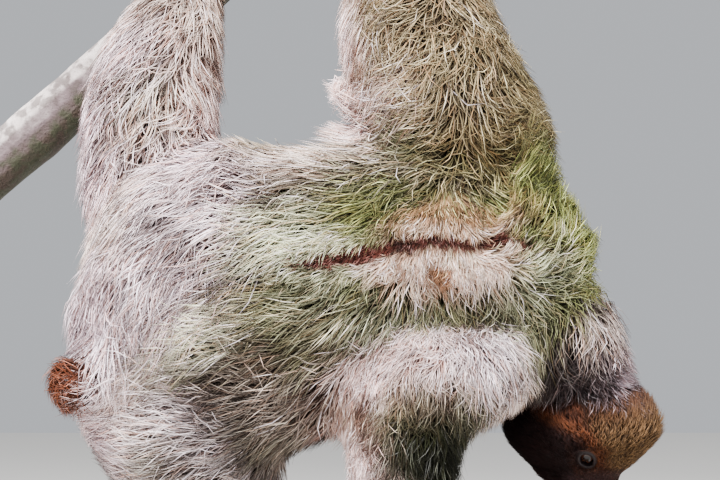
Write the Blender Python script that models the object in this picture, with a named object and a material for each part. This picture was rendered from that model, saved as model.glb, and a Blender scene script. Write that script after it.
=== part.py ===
"""A life-size male three-toed sloth that hangs by one hand and one foot from a cut branch, on a display stand.

Run it with: blender --background --python part.py

Every length is in millimetres in the tables below and is turned into metres where a mesh is made. The tables
use the hang frame: X runs from rump to shoulders, Y from the back to the belly, Z up. HANG places that frame
over the centre of the base's underside, which is the world origin. The animal is first modelled as one furred
body, out to the tips of its coat, and is then parted into its named pieces with thin cuts.
"""

import math

import bmesh
import bpy
from mathutils import Matrix, Vector
from mathutils.bvhtree import BVHTree

MM = 0.001

# Driving dimensions.
HANG = Vector((20, -30, 412))
GAP = 0.4
BACKWARD = Vector((0, -1, 0))
TOWARDS_BELLY = Vector((0, 1, 0))
UPWARD = Vector((0, 0, 1))
LIMB_SIDE = Vector((0.3, 1, 0))
SHARP_ANGLE = math.radians(40)

# The furred body: how its tubes are rounded, fused and thinned.
SIDES = 20
TRUNK_SIDES = 32
HEAD_SIDES = 28
BODY_STEPS = 3
HEAD_STEPS = 2
DOME = 0.6
DOME_ANGLES = (math.radians(38), math.radians(70))
VOXEL = 5.0
FUSE_PASSES = 9
SOFTENING = 0.5
BODY_TRIANGLES = 2500

# Stand and perch.
BASE = Vector((430, 290, 22))
BASE_BEVEL = 3
ROD_RADIUS = 7
COLLAR_RADIUS = 17
COLLAR_HEIGHT = 14
ROUND_SIDES = 18
BORE_OVERRUN = 5
MITRE_GAP = 1.2
ROD_X = {"stand_rod_rear": -135, "stand_rod_front": 12}
BRANCH_Y = 106
BRANCH_RADIUS = 22.5
BRANCH_RISE = math.radians(41.25)
BRANCH_FOOT = Vector((-271, BRANCH_Y, 57))
BRANCH_SPAN = (-52, 474)
BRANCH_RINGS = 12
BRANCH_SIDES = 14
BRANCH_AXIS = Vector((math.cos(BRANCH_RISE), 0, math.sin(BRANCH_RISE)))
BRANCH_UP = Vector((-math.sin(BRANCH_RISE), 0, math.cos(BRANCH_RISE)))
BRANCH_SWELL = 0.5
BRANCH_SWELL_RUN = 60
KNOT_RISE = 1.6
KNOT_ALONG = 35
KNOT_RUN = 22
FUR_CLEARANCE = 1.0

# Trunk: x, y, z, half height and half depth at stations from the rump to the root of the neck.
TRUNK = [
    (-194, -4, -66, 46, 34),
    (-183, -4, -64, 76, 58),
    (-152, -4, -59, 104, 82),
    (-100, -4, -46, 120, 92),
    (-50, -5, -36, 113, 92),
    (0, -5, -16, 94, 87),
    (50, -4, -3, 78, 80),
    (95, -3, -5, 68, 70),
    (128, 0, -12, 52, 56),
    (146, 3, -18, 34, 36),
]

# Limbs: x, y, z and radius. The third entry of each is its last joint before the paw.
LIMBS = {
    "arm_left": [(92, 18, 28, 58), (72, -4, 78, 61), (49, -25, 126, 60), (41, 4, 184, 54), (43, 40, 250, 37),
                 (52, 60, 296, 27), (57, 66, 318, 22)],
    "arm_right": [(104, -18, -86, 38), (68, -36, -97, 43), (34, -48, -106, 43), (30, -40, -165, 42),
                  (33, -12, -246, 31), (37, 4, -284, 24), (38, 10, -298, 20)],
    "leg_left": [(-140, 12, 5, 58), (-154, 30, 42, 53), (-154, 42, 84, 54), (-149, 48, 118, 52),
                 (-138, 54, 154, 44), (-127, 63, 183, 33), (-119, 68, 199, 26)],
    "leg_right": [(-130, 4, -104, 79), (-118, 24, -154, 70), (-106, 36, -200, 57), (-112, 46, -240, 47),
                  (-121, 44, -280, 34), (-122, 32, -308, 27), (-122, 25, -322, 22)],
}
JOINT_STATION = 2
PAW_STATION = 4
ROOT_STEPS = 3
ROOT_OFFSET = {"arm_left": 0.72, "arm_right": 0.3, "leg_left": 0.75, "leg_right": 0.67}
LIMB_WORDS = {"arm": ("upper_arm", "forearm", "hand"), "leg": ("thigh", "shank", "foot")}

TAIL = [(-170, -30, -90, 26), (-191, -38, -97, 25), (-202, -42, -99, 25), (-210, -44, -100, 21)]
NECK = [(112, 2, -22, 54), (126, 10, -54, 48), (148, 20, -84, 48), (155, 26, -104, 50)]

# Sleeves that part the limbs, tail and neck from the body, and blocks that split a limb.
SLEEVE_VOXEL = 7
SLEEVE_TRIANGLES = 180
LIMB_ROOM = 2
LIMB_FLARE = 3
LIMB_FLARE_MOST = 12
LIMB_OVERRUN = 40
STEM_STEPS = 4
STEM_ROOM = 5
TAIL_OVERRUN = 30
HOOD_WIDER = 22
HOOD_START = 18
HOOD_END = 110
BLOCK_SIDE = Vector((0.3, 1, 0.2))
BLOCK_SIDES = 24
BLOCK_LENGTH = 400
BLOCK_FLARE = 2
JOINT_BLOCK = 1.9
NECK_BLOCK = 90

# Head: its own frame points forward to the nose, up to the crown and right to the right eye.
HEAD_CENTRE = Vector((163, 30, -139))
HEAD_FORWARD = Vector((0.10, 0.12, -1.0))
HEAD_ROLL = math.radians(20)
# forward, up, half height and half width.
HEAD = [
    (-46, 1, 38, 40),
    (-26, -4, 52, 49),
    (-8, -3, 58, 48),
    (5, -1, 56, 41),
    (14, -1, 50, 34),
    (24, -2, 41, 26),
    (33, -4, 31, 21),
    (41, 0, 22, 17),
    (47, 4, 15, 13),
    (50, 5, 10, 10),
]
EYE_RADIUS = 6.4
EYE_PLACE = (13.2, 8.2, 21.5)
ORBIT_RADIUS = 9
ORBIT_PLACE = (19.5, 9, 30)
NOSE_PLACE = (44, 6, 0)
NOSE_HALF = (7.5, 8.5, 9)

# Claws: three on each paw.
CLAW_SPREAD = 13
FREE_SPREAD = 0.8
CLAW_ROOT = (3.6, 4.6)
CLAW_TIP = 0.9
CLAW_REST = 1.8
CLAW_RINGS = 7
CLAW_SIDES = 6
CLAW_TAPER = 1.6
GRIP = {
    "hand_left": {"at_x": 57, "start": -32, "sweep": 168},
    "foot_left": {"at_x": -116, "start": -8, "sweep": 128},
}
FREE_CLAWS = {
    "hand_right": {"root": (37, 6, -292), "along": (0.05, 0.25, -1), "curl": (0, 1, 0.2), "bend": 46, "sweep": 92},
    "foot_right": {"root": (-120, 28, -314), "along": (0, -0.1, -1), "curl": (0, 1, 0.2), "bend": 36, "sweep": 88},
}

COLOURS = {
    "coat": ((0.42, 0.36, 0.28), 0.9, 0.0),
    "face": ((0.30, 0.19, 0.10), 0.85, 0.0),
    "nose": ((0.03, 0.025, 0.03), 0.35, 0.0),
    "eye": ((0.02, 0.012, 0.008), 0.08, 0.0),
    "claw": ((0.50, 0.42, 0.30), 0.4, 0.0),
    "bark": ((0.48, 0.44, 0.42), 0.9, 0.0),
    "base": ((0.05, 0.05, 0.055), 0.5, 0.0),
    "rod": ((0.35, 0.35, 0.36), 0.35, 1.0),
}


def clear_scene():
    """Empties the startup scene."""
    for obj in list(bpy.data.objects):
        bpy.data.objects.remove(obj, do_unlink=True)


def material(name):
    """The named finish as a Principled material, made once."""
    found = bpy.data.materials.get(name)
    if found:
        return found
    colour, roughness, metallic = COLOURS[name]
    made = bpy.data.materials.new(name)
    made.use_nodes = True
    shader = made.node_tree.nodes["Principled BSDF"]
    shader.inputs["Base Color"].default_value = (*colour, 1)
    shader.inputs["Roughness"].default_value = roughness
    shader.inputs["Metallic"].default_value = metallic
    return made


def new_object(name, bm, finish, hang):
    """An object from a bmesh in millimetres, parented to the hang frame."""
    bmesh.ops.recalc_face_normals(bm, faces=bm.faces)
    bmesh.ops.scale(bm, vec=Vector((MM, MM, MM)), verts=bm.verts)
    mesh = bpy.data.meshes.new(name)
    bm.to_mesh(mesh)
    bm.free()
    mesh.materials.append(material(finish))
    mesh.shade_smooth()
    mesh.set_sharp_from_angle(angle=SHARP_ANGLE)
    obj = bpy.data.objects.new(name, mesh)
    bpy.context.scene.collection.objects.link(obj)
    obj.parent = hang
    return obj


def evaluated_mesh(obj):
    """A copy of the object's mesh with its modifiers applied."""
    graph = bpy.context.evaluated_depsgraph_get()
    return bpy.data.meshes.new_from_object(obj.evaluated_get(graph))


def apply_modifiers(obj):
    """Replaces the object's mesh by its evaluated one."""
    mesh = evaluated_mesh(obj)
    obj.modifiers.clear()
    obj.data = mesh


def thin_to(obj, triangles):
    """Decimates the object's evaluated mesh to about this many triangles."""
    apply_modifiers(obj)
    present = sum(len(face.vertices) - 2 for face in obj.data.polygons)
    thin = obj.modifiers.new("thin", "DECIMATE")
    thin.ratio = triangles / present
    thin.use_collapse_triangulate = True
    apply_modifiers(obj)


def cut(obj, cutter, operation="DIFFERENCE"):
    """Applies one Boolean of obj with the cutter."""
    boolean = obj.modifiers.new(operation.lower(), "BOOLEAN")
    boolean.operation = operation
    boolean.object = cutter
    boolean.solver = "EXACT"
    apply_modifiers(obj)


def copy_of(obj, name):
    """A second object with its own copy of the mesh."""
    twin = bpy.data.objects.new(name, obj.data.copy())
    bpy.context.scene.collection.objects.link(twin)
    twin.parent = obj.parent
    return twin


def hide(obj):
    """Marks a cutter, which is no part of the model."""
    obj.hide_render = True
    obj.display_type = "WIRE"
    return obj


def catmull_rom(rows, steps):
    """The rows joined by a smooth curve, with this many steps from each row to the next."""
    ends = [rows[0], *rows, rows[-1]]
    found = []
    for before, start, end, after in zip(ends, ends[1:], ends[2:], ends[3:]):
        for step in range(steps):
            t = step / steps
            found.append(tuple(
                0.5 * (2 * b + (c - a) * t + (2 * a - 5 * b + 4 * c - d) * t * t + (3 * b - a - 3 * c + d) * t ** 3)
                for a, b, c, d in zip(before, start, end, after)
            ))
    found.append(tuple(rows[-1]))
    return found


def domed(end_ring, tangent, sign):
    """The two smaller rings that round off an end of a tube, nearest first."""
    centre, wide, deep = end_ring
    reach = sign * min(wide, deep) * DOME
    return [
        (centre + tangent * reach * math.sin(angle), wide * math.cos(angle), deep * math.cos(angle))
        for angle in DOME_ANGLES
    ]


def add_tube(bm, rings, side, sides=SIDES):
    """Skins the rings, each a centre and two half sizes, and closes both ends. side sets where the wide half lies."""
    loops = []
    for index, (centre, wide, deep) in enumerate(rings):
        before = rings[max(index - 1, 0)][0]
        after = rings[min(index + 1, len(rings) - 1)][0]
        tangent = (after - before).normalized()
        across = (side - tangent * side.dot(tangent)).normalized()
        other = tangent.cross(across)
        loops.append([
            bm.verts.new(
                centre
                + across * wide * math.cos(2 * math.pi * k / sides)
                + other * deep * math.sin(2 * math.pi * k / sides)
            )
            for k in range(sides)
        ])
    for lower, upper in zip(loops, loops[1:]):
        for k in range(sides):
            bm.faces.new((lower[k], lower[(k + 1) % sides], upper[(k + 1) % sides], upper[k]))
    bm.faces.new(reversed(loops[0]))
    bm.faces.new(loops[-1])


def rounded_rings(rows):
    """Rings along rows of x, y, z and one or two half sizes, with domed ends."""
    rings = [(Vector(row[:3]), row[3], row[-1]) for row in catmull_rom(rows, BODY_STEPS)]
    start = (rings[1][0] - rings[0][0]).normalized()
    end = (rings[-1][0] - rings[-2][0]).normalized()
    return [*reversed(domed(rings[0], start, -1)), *rings, *domed(rings[-1], end, 1)]


def head_matrix():
    """The head's frame in the hang frame: columns forward, up and right."""
    forward = HEAD_FORWARD.normalized()
    crown = Vector((1, 0, 0))
    crown = (crown - forward * crown.dot(forward)).normalized()
    right = forward.cross(crown)
    up = crown * math.cos(HEAD_ROLL) + right * math.sin(HEAD_ROLL)
    right = forward.cross(up)
    turn = Matrix((forward, up, right)).transposed().to_4x4()
    return Matrix.Translation(HEAD_CENTRE) @ turn


def branch_point(x):
    """The point of the branch's axis over this x."""
    return BRANCH_FOOT + BRANCH_AXIS * ((x - BRANCH_FOOT.x) / BRANCH_AXIS.x)


def add_body(bm):
    """Adds every part of the furred body as overlapping tubes."""
    add_tube(bm, rounded_rings(TRUNK), UPWARD, TRUNK_SIDES)
    add_tube(bm, rounded_rings(NECK), TOWARDS_BELLY)
    add_tube(bm, rounded_rings(TAIL), TOWARDS_BELLY)
    for rows in LIMBS.values():
        add_tube(bm, rounded_rings(rows), LIMB_SIDE)
    frame = head_matrix()
    rings = [
        (frame @ Vector((ahead, raised, 0)), high, wide)
        for ahead, raised, high, wide in catmull_rom(HEAD, HEAD_STEPS)
    ]
    add_tube(bm, rings, frame.col[1].to_3d(), HEAD_SIDES)


def furred_body(hang):
    """The whole body as one smooth closed skin."""
    bm = bmesh.new()
    add_body(bm)
    body = new_object("body", bm, "coat", hang)
    remesh = body.modifiers.new("fuse", "REMESH")
    remesh.mode = "VOXEL"
    remesh.voxel_size = VOXEL * MM
    smooth = body.modifiers.new("soften", "SMOOTH")
    smooth.factor = SOFTENING
    smooth.iterations = FUSE_PASSES
    thin_to(body, BODY_TRIANGLES)
    return body


def ball(name, centre, radius, hang, finish):
    """An icosphere as an object."""
    bm = bmesh.new()
    bmesh.ops.create_icosphere(bm, subdivisions=2, radius=radius)
    bmesh.ops.translate(bm, vec=centre, verts=bm.verts)
    return new_object(name, bm, finish, hang)


def nose_pad(name, hang, extra=0.0):
    """The bare pad at the end of the snout."""
    frame = head_matrix()
    bm = bmesh.new()
    bmesh.ops.create_icosphere(bm, subdivisions=2, radius=1)
    half = Matrix.Diagonal(Vector([size + extra for size in NOSE_HALF])).to_4x4()
    place = frame @ Matrix.Translation(Vector(NOSE_PLACE))
    bmesh.ops.transform(bm, matrix=place @ half, verts=bm.verts)
    return new_object(name, bm, "nose", hang)


def claw_rings(path, extra):
    """Tapering rings along a claw, higher than wide. path gives the centre for a share of the length and a height."""
    rings = []
    for index in range(CLAW_RINGS + 1):
        share = index / CLAW_RINGS
        wide, high = (size + (CLAW_TIP - size) * share ** CLAW_TAPER for size in CLAW_ROOT)
        rings.append((path(share, high), wide + extra, high + extra))
    if extra:
        (first, *first_size), (second, *_), (last, *last_size) = rings[0], rings[1], rings[-1]
        rings.insert(0, (first + (first - second).normalized() * extra, *first_size))
        rings.append((last + (last - rings[-2][0]).normalized() * extra, *last_size))
    return rings


def gripping_claw(name, grip, slot, hang, extra=0.0):
    """A claw that wraps the branch from its near side over the top. slot is -1, 0 or 1 along the branch."""
    centre = branch_point(grip["at_x"]) + BRANCH_AXIS * CLAW_SPREAD * slot

    def path(share, high):
        angle = math.radians(grip["start"] + grip["sweep"] * share)
        radius = BRANCH_RADIUS + CLAW_REST + high
        return centre + BACKWARD * radius * math.cos(angle) + BRANCH_UP * radius * math.sin(angle)

    bm = bmesh.new()
    add_tube(bm, claw_rings(path, extra), BRANCH_AXIS, CLAW_SIDES)
    return new_object(name, bm, "claw", hang)


def free_claw(name, paw, slot, hang, extra=0.0):
    """A claw of a paw that holds nothing. slot is -1, 0 or 1 across the paw."""
    along = Vector(paw["along"]).normalized()
    curl = Vector(paw["curl"])
    curl = (curl - along * curl.dot(along)).normalized()
    across = along.cross(curl)
    root = Vector(paw["root"]) + across * CLAW_SPREAD * FREE_SPREAD * slot

    def path(share, _high):
        angle = math.radians(paw["sweep"]) * share
        return root + (along * math.sin(angle) + curl * (1 - math.cos(angle))) * paw["bend"]

    bm = bmesh.new()
    add_tube(bm, claw_rings(path, extra), across, CLAW_SIDES)
    return new_object(name, bm, "claw", hang)


def add_claws(body, hang):
    """Makes the twelve claws and a pocket in the fur for each."""
    for slot in (-1, 0, 1):
        for paws, make in ((GRIP, gripping_claw), (FREE_CLAWS, free_claw)):
            for paw, shape in paws.items():
                make(f"{paw}_claw_{slot + 2}", shape, slot, hang)
                pocket = hide(make("pocket", shape, slot, hang, extra=GAP))
                cut(body, pocket)
                bpy.data.objects.remove(pocket)


def branch_rings(extra=0.0):
    """Rings of the branch: a slow bend and a swelling at an old knot."""
    rings = []
    low, high = BRANCH_SPAN
    for index in range(BRANCH_RINGS + 1):
        along = low + (high - low) * index / BRANCH_RINGS
        knot = KNOT_RISE * math.exp(-((along - KNOT_ALONG) / KNOT_RUN) ** 2)
        radius = BRANCH_RADIUS - BRANCH_SWELL * (1 + math.cos(along / BRANCH_SWELL_RUN)) + knot
        rings.append((BRANCH_FOOT + BRANCH_AXIS * along, radius + extra, radius + extra))
    return rings


def make_branch(name, hang, extra=0.0):
    """The cut length of branch."""
    bm = bmesh.new()
    add_tube(bm, branch_rings(extra), BACKWARD, BRANCH_SIDES)
    return new_object(name, bm, "bark", hang)


def sleeve(rings, side, hang):
    """A clean closed tube that parts the body. It is remeshed, because its rings may cross where it bends."""
    bm = bmesh.new()
    add_tube(bm, rings, side)
    made = hide(new_object("sleeve", bm, "coat", hang))
    remesh = made.modifiers.new("clean", "REMESH")
    remesh.mode = "VOXEL"
    remesh.voxel_size = SLEEVE_VOXEL * MM
    thin_to(made, SLEEVE_TRIANGLES)
    return made


def limb_sleeve(limb, hang):
    """A sleeve round one limb, from its root to past its paw."""
    rows = catmull_rom(LIMBS[limb], ROOT_STEPS)
    rings = []
    for index, row in enumerate(rows[int(ROOT_OFFSET[limb] * ROOT_STEPS):]):
        radius = row[3] + LIMB_ROOM + min(index * LIMB_FLARE, LIMB_FLARE_MOST)
        rings.append((Vector(row[:3]), radius, radius))
    end = (rings[-1][0] - rings[-2][0]).normalized()
    rings.append((rings[-1][0] + end * LIMB_OVERRUN, *rings[-1][1:]))
    return sleeve(rings, LIMB_SIDE, hang)


def stem_rings(rows):
    """Roomy rings along a tail or neck, from its second station on, and the way that they end."""
    rings = [
        (Vector(row[:3]), row[3] + STEM_ROOM, row[3] + STEM_ROOM)
        for row in catmull_rom(rows, STEM_STEPS)[STEM_STEPS:]
    ]
    return rings, (rings[-1][0] - rings[-2][0]).normalized()


def tail_sleeve(hang):
    """A sleeve round the tail, from where it leaves the rump."""
    rings, end = stem_rings(TAIL)
    rings.append((rings[-1][0] + end * TAIL_OVERRUN, *rings[-1][1:]))
    return sleeve(rings, TOWARDS_BELLY, hang)


def neck_sleeve(hang):
    """A sleeve round the neck that widens to take in the whole head."""
    rings, end = stem_rings(NECK)
    last, narrow, _ = rings[-1]
    wide = narrow + HOOD_WIDER
    rings += [(last + end * HOOD_START, wide, wide), (last + end * (HOOD_START + HOOD_END), wide, wide)]
    return sleeve(rings, TOWARDS_BELLY, hang)


def keep_largest(obj):
    """Drops crumbs of mesh that a cut leaves apart from the piece."""
    bm = bmesh.new()
    bm.from_mesh(obj.data)
    islands = []
    left = set(bm.verts)
    while left:
        seed = left.pop()
        island, todo = {seed}, [seed]
        while todo:
            for edge in todo.pop().link_edges:
                for vert in edge.verts:
                    if vert in left:
                        left.discard(vert)
                        island.add(vert)
                        todo.append(vert)
        islands.append(island)
    islands.sort(key=len)
    bmesh.ops.delete(bm, geom=[v for island in islands[:-1] for v in island], context="VERTS")
    bm.to_mesh(obj.data)
    bm.free()


def take_out(body, name, region):
    """Parts what lies in the region from the body, as a new object. The body loses a gap's width more."""
    piece = copy_of(body, name)
    cut(piece, region, "INTERSECT")
    offsets = [vert.normal * GAP * MM for vert in region.data.vertices]
    for vert, offset in zip(region.data.vertices, offsets):
        vert.co += offset
    cut(body, region)
    bpy.data.objects.remove(region)
    keep_largest(piece)
    keep_largest(body)
    return piece


def split(obj, name, point, normal, hang, radius):
    """Cuts obj in two with a thin slab. The half that the normal points to becomes a new object."""
    towards = normal.normalized()
    far = copy_of(obj, name)
    for half, sign in ((obj, 1), (far, -1)):
        bm = bmesh.new()
        start = point + towards * sign * -0.5 * GAP
        end = start + towards * sign * BLOCK_LENGTH
        rings = [(start, radius, radius), (end, radius * BLOCK_FLARE, radius * BLOCK_FLARE)]
        add_tube(bm, rings, BLOCK_SIDE, BLOCK_SIDES)
        block = hide(new_object("block", bm, "coat", hang))
        cut(half, block)
        bpy.data.objects.remove(block)
        keep_largest(half)
    return far


def part_limbs(body, hang):
    """Takes each limb off the body and splits it at its middle joint and at its paw."""
    for limb, rows in LIMBS.items():
        kind, which = limb.split("_")
        upper, lower, paw = LIMB_WORDS[kind]
        piece = take_out(body, f"{upper}_{which}", limb_sleeve(limb, hang))
        for station, name in ((JOINT_STATION, f"{lower}_{which}"), (PAW_STATION, f"{paw}_{which}")):
            before, here, after = (Vector(rows[station + step][:3]) for step in (-1, 0, 1))
            piece = split(piece, name, here, after - before, hang, rows[station][3] * JOINT_BLOCK)


def part_head_and_tail(body, hang):
    """Takes the tail off, then the neck with the head, and splits those two."""
    take_out(body, "tail", tail_sleeve(hang))
    neck = take_out(body, "neck", neck_sleeve(hang))
    before, here = (Vector(NECK[index][:3]) for index in (-2, -1))
    return split(neck, "head", here, here - before, hang, NECK_BLOCK)


def make_face(head, hang):
    """Sets the eyes and the nose pad into the head."""
    frame = head_matrix()
    for word, sign in (("right", 1), ("left", -1)):
        orbit = frame @ Vector((*ORBIT_PLACE[:2], sign * ORBIT_PLACE[2]))
        centre = frame @ Vector((*EYE_PLACE[:2], sign * EYE_PLACE[2]))
        for place, radius in ((orbit, ORBIT_RADIUS), (centre, EYE_RADIUS + GAP)):
            hollow = hide(ball("hollow", place, radius, hang, "face"))
            cut(head, hollow)
            bpy.data.objects.remove(hollow)
        ball(f"eye_{word}", centre, EYE_RADIUS, hang, "eye")
    seat = hide(nose_pad("seat", hang, GAP))
    cut(head, seat)
    bpy.data.objects.remove(seat)
    nose_pad("nose", hang)
    keep_largest(head)


def add_cylinder(bm, centre, radius, height):
    """An upright cylinder standing on centre."""
    made = bmesh.ops.create_cone(
        bm, cap_ends=True, segments=ROUND_SIDES, radius1=radius, radius2=radius, depth=height
    )
    bmesh.ops.translate(bm, vec=centre + Vector((0, 0, height / 2)), verts=made["verts"])


def surface_of(branch):
    """The branch's surface as a tree for ray casts, in the hang frame's millimetres."""
    return BVHTree.FromPolygons(
        [v.co / MM for v in branch.data.vertices], [tuple(p.vertices) for p in branch.data.polygons]
    )


def mitred_rod(name, foot, surface, hang):
    """An upright rod that stands on foot, its head cut to the slope of the branch's underside."""
    bm = bmesh.new()
    add_cylinder(bm, foot, ROD_RADIUS, COLLAR_HEIGHT)
    top = max(bm.faces, key=lambda face: face.calc_center_median().z)
    head = {*top.verts, *bmesh.ops.poke(bm, faces=[top])["verts"]}
    for vert in head:
        hit = surface.ray_cast(Vector((vert.co.x, vert.co.y, -HANG.z)), UPWARD)[0]
        vert.co.z = hit.z - MITRE_GAP
    return new_object(name, bm, "rod", hang)


def make_stand(branch, hang):
    """The base plate, its two rods up to the branch and their collars."""
    bm = bmesh.new()
    bmesh.ops.create_cube(bm, size=1)
    bmesh.ops.scale(bm, vec=BASE, verts=bm.verts)
    bmesh.ops.translate(bm, vec=Vector((0, 0, BASE.z / 2)) - HANG, verts=bm.verts)
    base = new_object("stand_base", bm, "base", hang)
    bevel = base.modifiers.new("edge", "BEVEL")
    bevel.width = BASE_BEVEL * MM
    bevel.segments = 1
    surface = surface_of(branch)
    for name, x in ROD_X.items():
        foot = Vector((x, BRANCH_Y, BASE.z - HANG.z + GAP))
        mitred_rod(name, foot, surface, hang)
        bm = bmesh.new()
        add_cylinder(bm, foot, COLLAR_RADIUS, COLLAR_HEIGHT)
        collar = new_object(name.replace("rod", "collar"), bm, "rod", hang)
        bm = bmesh.new()
        add_cylinder(bm, foot - UPWARD * BORE_OVERRUN, ROD_RADIUS + GAP, COLLAR_HEIGHT + 2 * BORE_OVERRUN)
        bore = hide(new_object("bore", bm, "rod", hang))
        cut(collar, bore)
        bpy.data.objects.remove(bore)


def main():
    """Builds the stand, the branch and the animal."""
    clear_scene()
    hang = bpy.data.objects.new("hang_frame", None)
    bpy.context.scene.collection.objects.link(hang)
    hang.location = HANG * MM
    bpy.context.view_layer.update()
    branch = make_branch("perch_branch", hang)
    body = furred_body(hang)
    clearance = hide(make_branch("clearance", hang, FUR_CLEARANCE))
    cut(body, clearance)
    bpy.data.objects.remove(clearance)
    add_claws(body, hang)
    part_limbs(body, hang)
    head = part_head_and_tail(body, hang)
    make_face(head, hang)
    body.name = "trunk"
    make_stand(branch, hang)


main()
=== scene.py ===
"""A three-toed sloth hanging under its cut branch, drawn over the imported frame.

One skin stands for all the nodes of flesh, and a coat of solid locks lies over it.
Places are read from the frame's boxes: lengths are in millimetres inside the classes
and become metres where a mesh is made. Directions are X from rump to shoulders,
Y from back to belly and Z up.
"""

import logging
from dataclasses import dataclass, field
from enum import Enum
from typing import Callable, Iterable, Sequence, Union

import bmesh
import bpy
import numpy as np
import openvdb as vdb
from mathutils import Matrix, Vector
from mathutils.bvhtree import BVHTree
from mathutils.kdtree import KDTree


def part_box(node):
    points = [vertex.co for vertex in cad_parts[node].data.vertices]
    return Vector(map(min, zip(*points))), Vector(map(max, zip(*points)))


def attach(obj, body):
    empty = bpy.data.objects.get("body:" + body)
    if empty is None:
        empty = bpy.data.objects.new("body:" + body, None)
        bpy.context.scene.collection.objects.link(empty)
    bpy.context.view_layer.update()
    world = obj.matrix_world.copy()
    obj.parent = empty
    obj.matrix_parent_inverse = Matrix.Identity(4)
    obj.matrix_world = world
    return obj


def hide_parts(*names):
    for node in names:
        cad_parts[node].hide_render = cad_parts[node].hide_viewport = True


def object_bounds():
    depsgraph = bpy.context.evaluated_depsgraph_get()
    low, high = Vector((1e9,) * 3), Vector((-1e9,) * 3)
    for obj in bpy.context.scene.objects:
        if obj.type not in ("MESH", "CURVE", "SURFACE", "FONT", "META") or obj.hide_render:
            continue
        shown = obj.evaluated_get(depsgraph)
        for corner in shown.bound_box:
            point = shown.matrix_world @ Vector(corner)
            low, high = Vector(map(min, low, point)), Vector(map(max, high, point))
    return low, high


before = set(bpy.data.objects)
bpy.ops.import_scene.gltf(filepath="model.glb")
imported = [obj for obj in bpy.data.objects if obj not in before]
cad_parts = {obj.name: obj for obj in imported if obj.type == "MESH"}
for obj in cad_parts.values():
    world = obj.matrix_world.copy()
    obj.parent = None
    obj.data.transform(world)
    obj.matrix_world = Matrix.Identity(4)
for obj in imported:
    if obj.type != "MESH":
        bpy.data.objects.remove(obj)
CAD_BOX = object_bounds()

logging.basicConfig(level=logging.INFO, format="%(name)s: %(message)s")
log = logging.getLogger("sloth")

MM = 0.001
SEED = 41
Triple = tuple[float, float, float]
Array = np.ndarray
Piece = bpy.types.Object
Material = bpy.types.Material


# ---- numbers in space ----


def unit(vectors: Array) -> Array:
    """Scales vectors along the last axis to length one; a zero vector stays zero."""
    size = np.linalg.norm(vectors, axis=-1, keepdims=True)
    return vectors / np.maximum(size, 1e-9)


def step_up(values: Array, start: float, end: float) -> Array:
    """Rises smoothly from 0 at start to 1 at end, or falls where end is below start."""
    t = np.clip((values - start) / (end - start), 0.0, 1.0)
    return t * t * (3.0 - 2.0 * t)


def soft_least(a: Array, b: Array, blend: float) -> Array:
    """Takes the lower of two fields, with a rounded seam as wide as blend."""
    h = np.clip(0.5 + 0.5 * (b - a) / blend, 0.0, 1.0)
    return b + (a - b) * h - blend * h * (1.0 - h)


def from_curve(places: Array, curve: Sequence[Sequence[float]]) -> tuple[Array, Array]:
    """Measures how far places lie from a line of straight runs.

    Args:
        places: points, one a row.
        curve: the line's corners.

    Returns:
        The distance to the line, and how far along it the nearest spot is, from 0 to 1.
    """
    corners = np.asarray(curve, dtype=float)
    runs = np.linalg.norm(np.diff(corners, axis=0), axis=1)
    before = np.concatenate([[0.0], np.cumsum(runs)])
    best = np.full(len(places), np.inf)
    along = np.zeros(len(places))
    for i, (a, b) in enumerate(zip(corners[:-1], corners[1:])):
        t = np.clip((places - a) @ (b - a) / runs[i] ** 2, 0.0, 1.0)
        gap = np.linalg.norm(places - (a + t[:, None] * (b - a)), axis=1)
        closer = gap < best
        best[closer] = gap[closer]
        along[closer] = (before[i] + t[closer] * runs[i]) / before[-1]
    return best, along


def through_rows(rows: Sequence[Sequence[float]], at: Array) -> Array:
    """Reads a smooth curve through rows of (position, value, value, ...).

    Args:
        rows: the rows, in rising order of position.
        at: the positions to read.

    Returns:
        One row of values for each position.
    """
    table = np.asarray(rows, dtype=float)
    x, y = table[:, 0], table[:, 1:]
    slope = np.gradient(y, x, axis=0)
    i = np.clip(np.searchsorted(x, at) - 1, 0, len(x) - 2)
    run = (x[i + 1] - x[i])[:, None]
    t = np.clip((at - x[i])[:, None] / run, 0.0, 1.0)
    s = 1.0 - t
    return (
        y[i] * s * s * (1.0 + 2.0 * t)
        + y[i + 1] * t * t * (3.0 - 2.0 * t)
        + run * t * s * (slope[i] * s - slope[i + 1] * t)
    )


class Noise:
    """Smooth random values through space, the same on every run."""

    SIDE = 32

    def __init__(self, seed: int, cell: float) -> None:
        """Fills the table; unrelated values lie a cell apart, in millimetres."""
        self.cell = cell
        self.table = np.random.default_rng(seed).uniform(-1.0, 1.0, (self.SIDE,) * 3)

    def __call__(self, places: Array) -> Array:
        """Reads the noise.

        Args:
            places: points in millimetres, one a row.

        Returns:
            A value between -1 and 1 for each point.
        """
        spots = places / self.cell
        low = np.floor(spots).astype(int)
        t = spots - low
        t = t * t * (3.0 - 2.0 * t)
        total = np.zeros(len(places))
        for corner in np.ndindex(2, 2, 2):
            share = np.prod(np.where(corner, t, 1.0 - t), axis=1)
            i, j, k = ((low + corner) % self.SIDE).T
            total += share * self.table[i, j, k]
        return total


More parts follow.
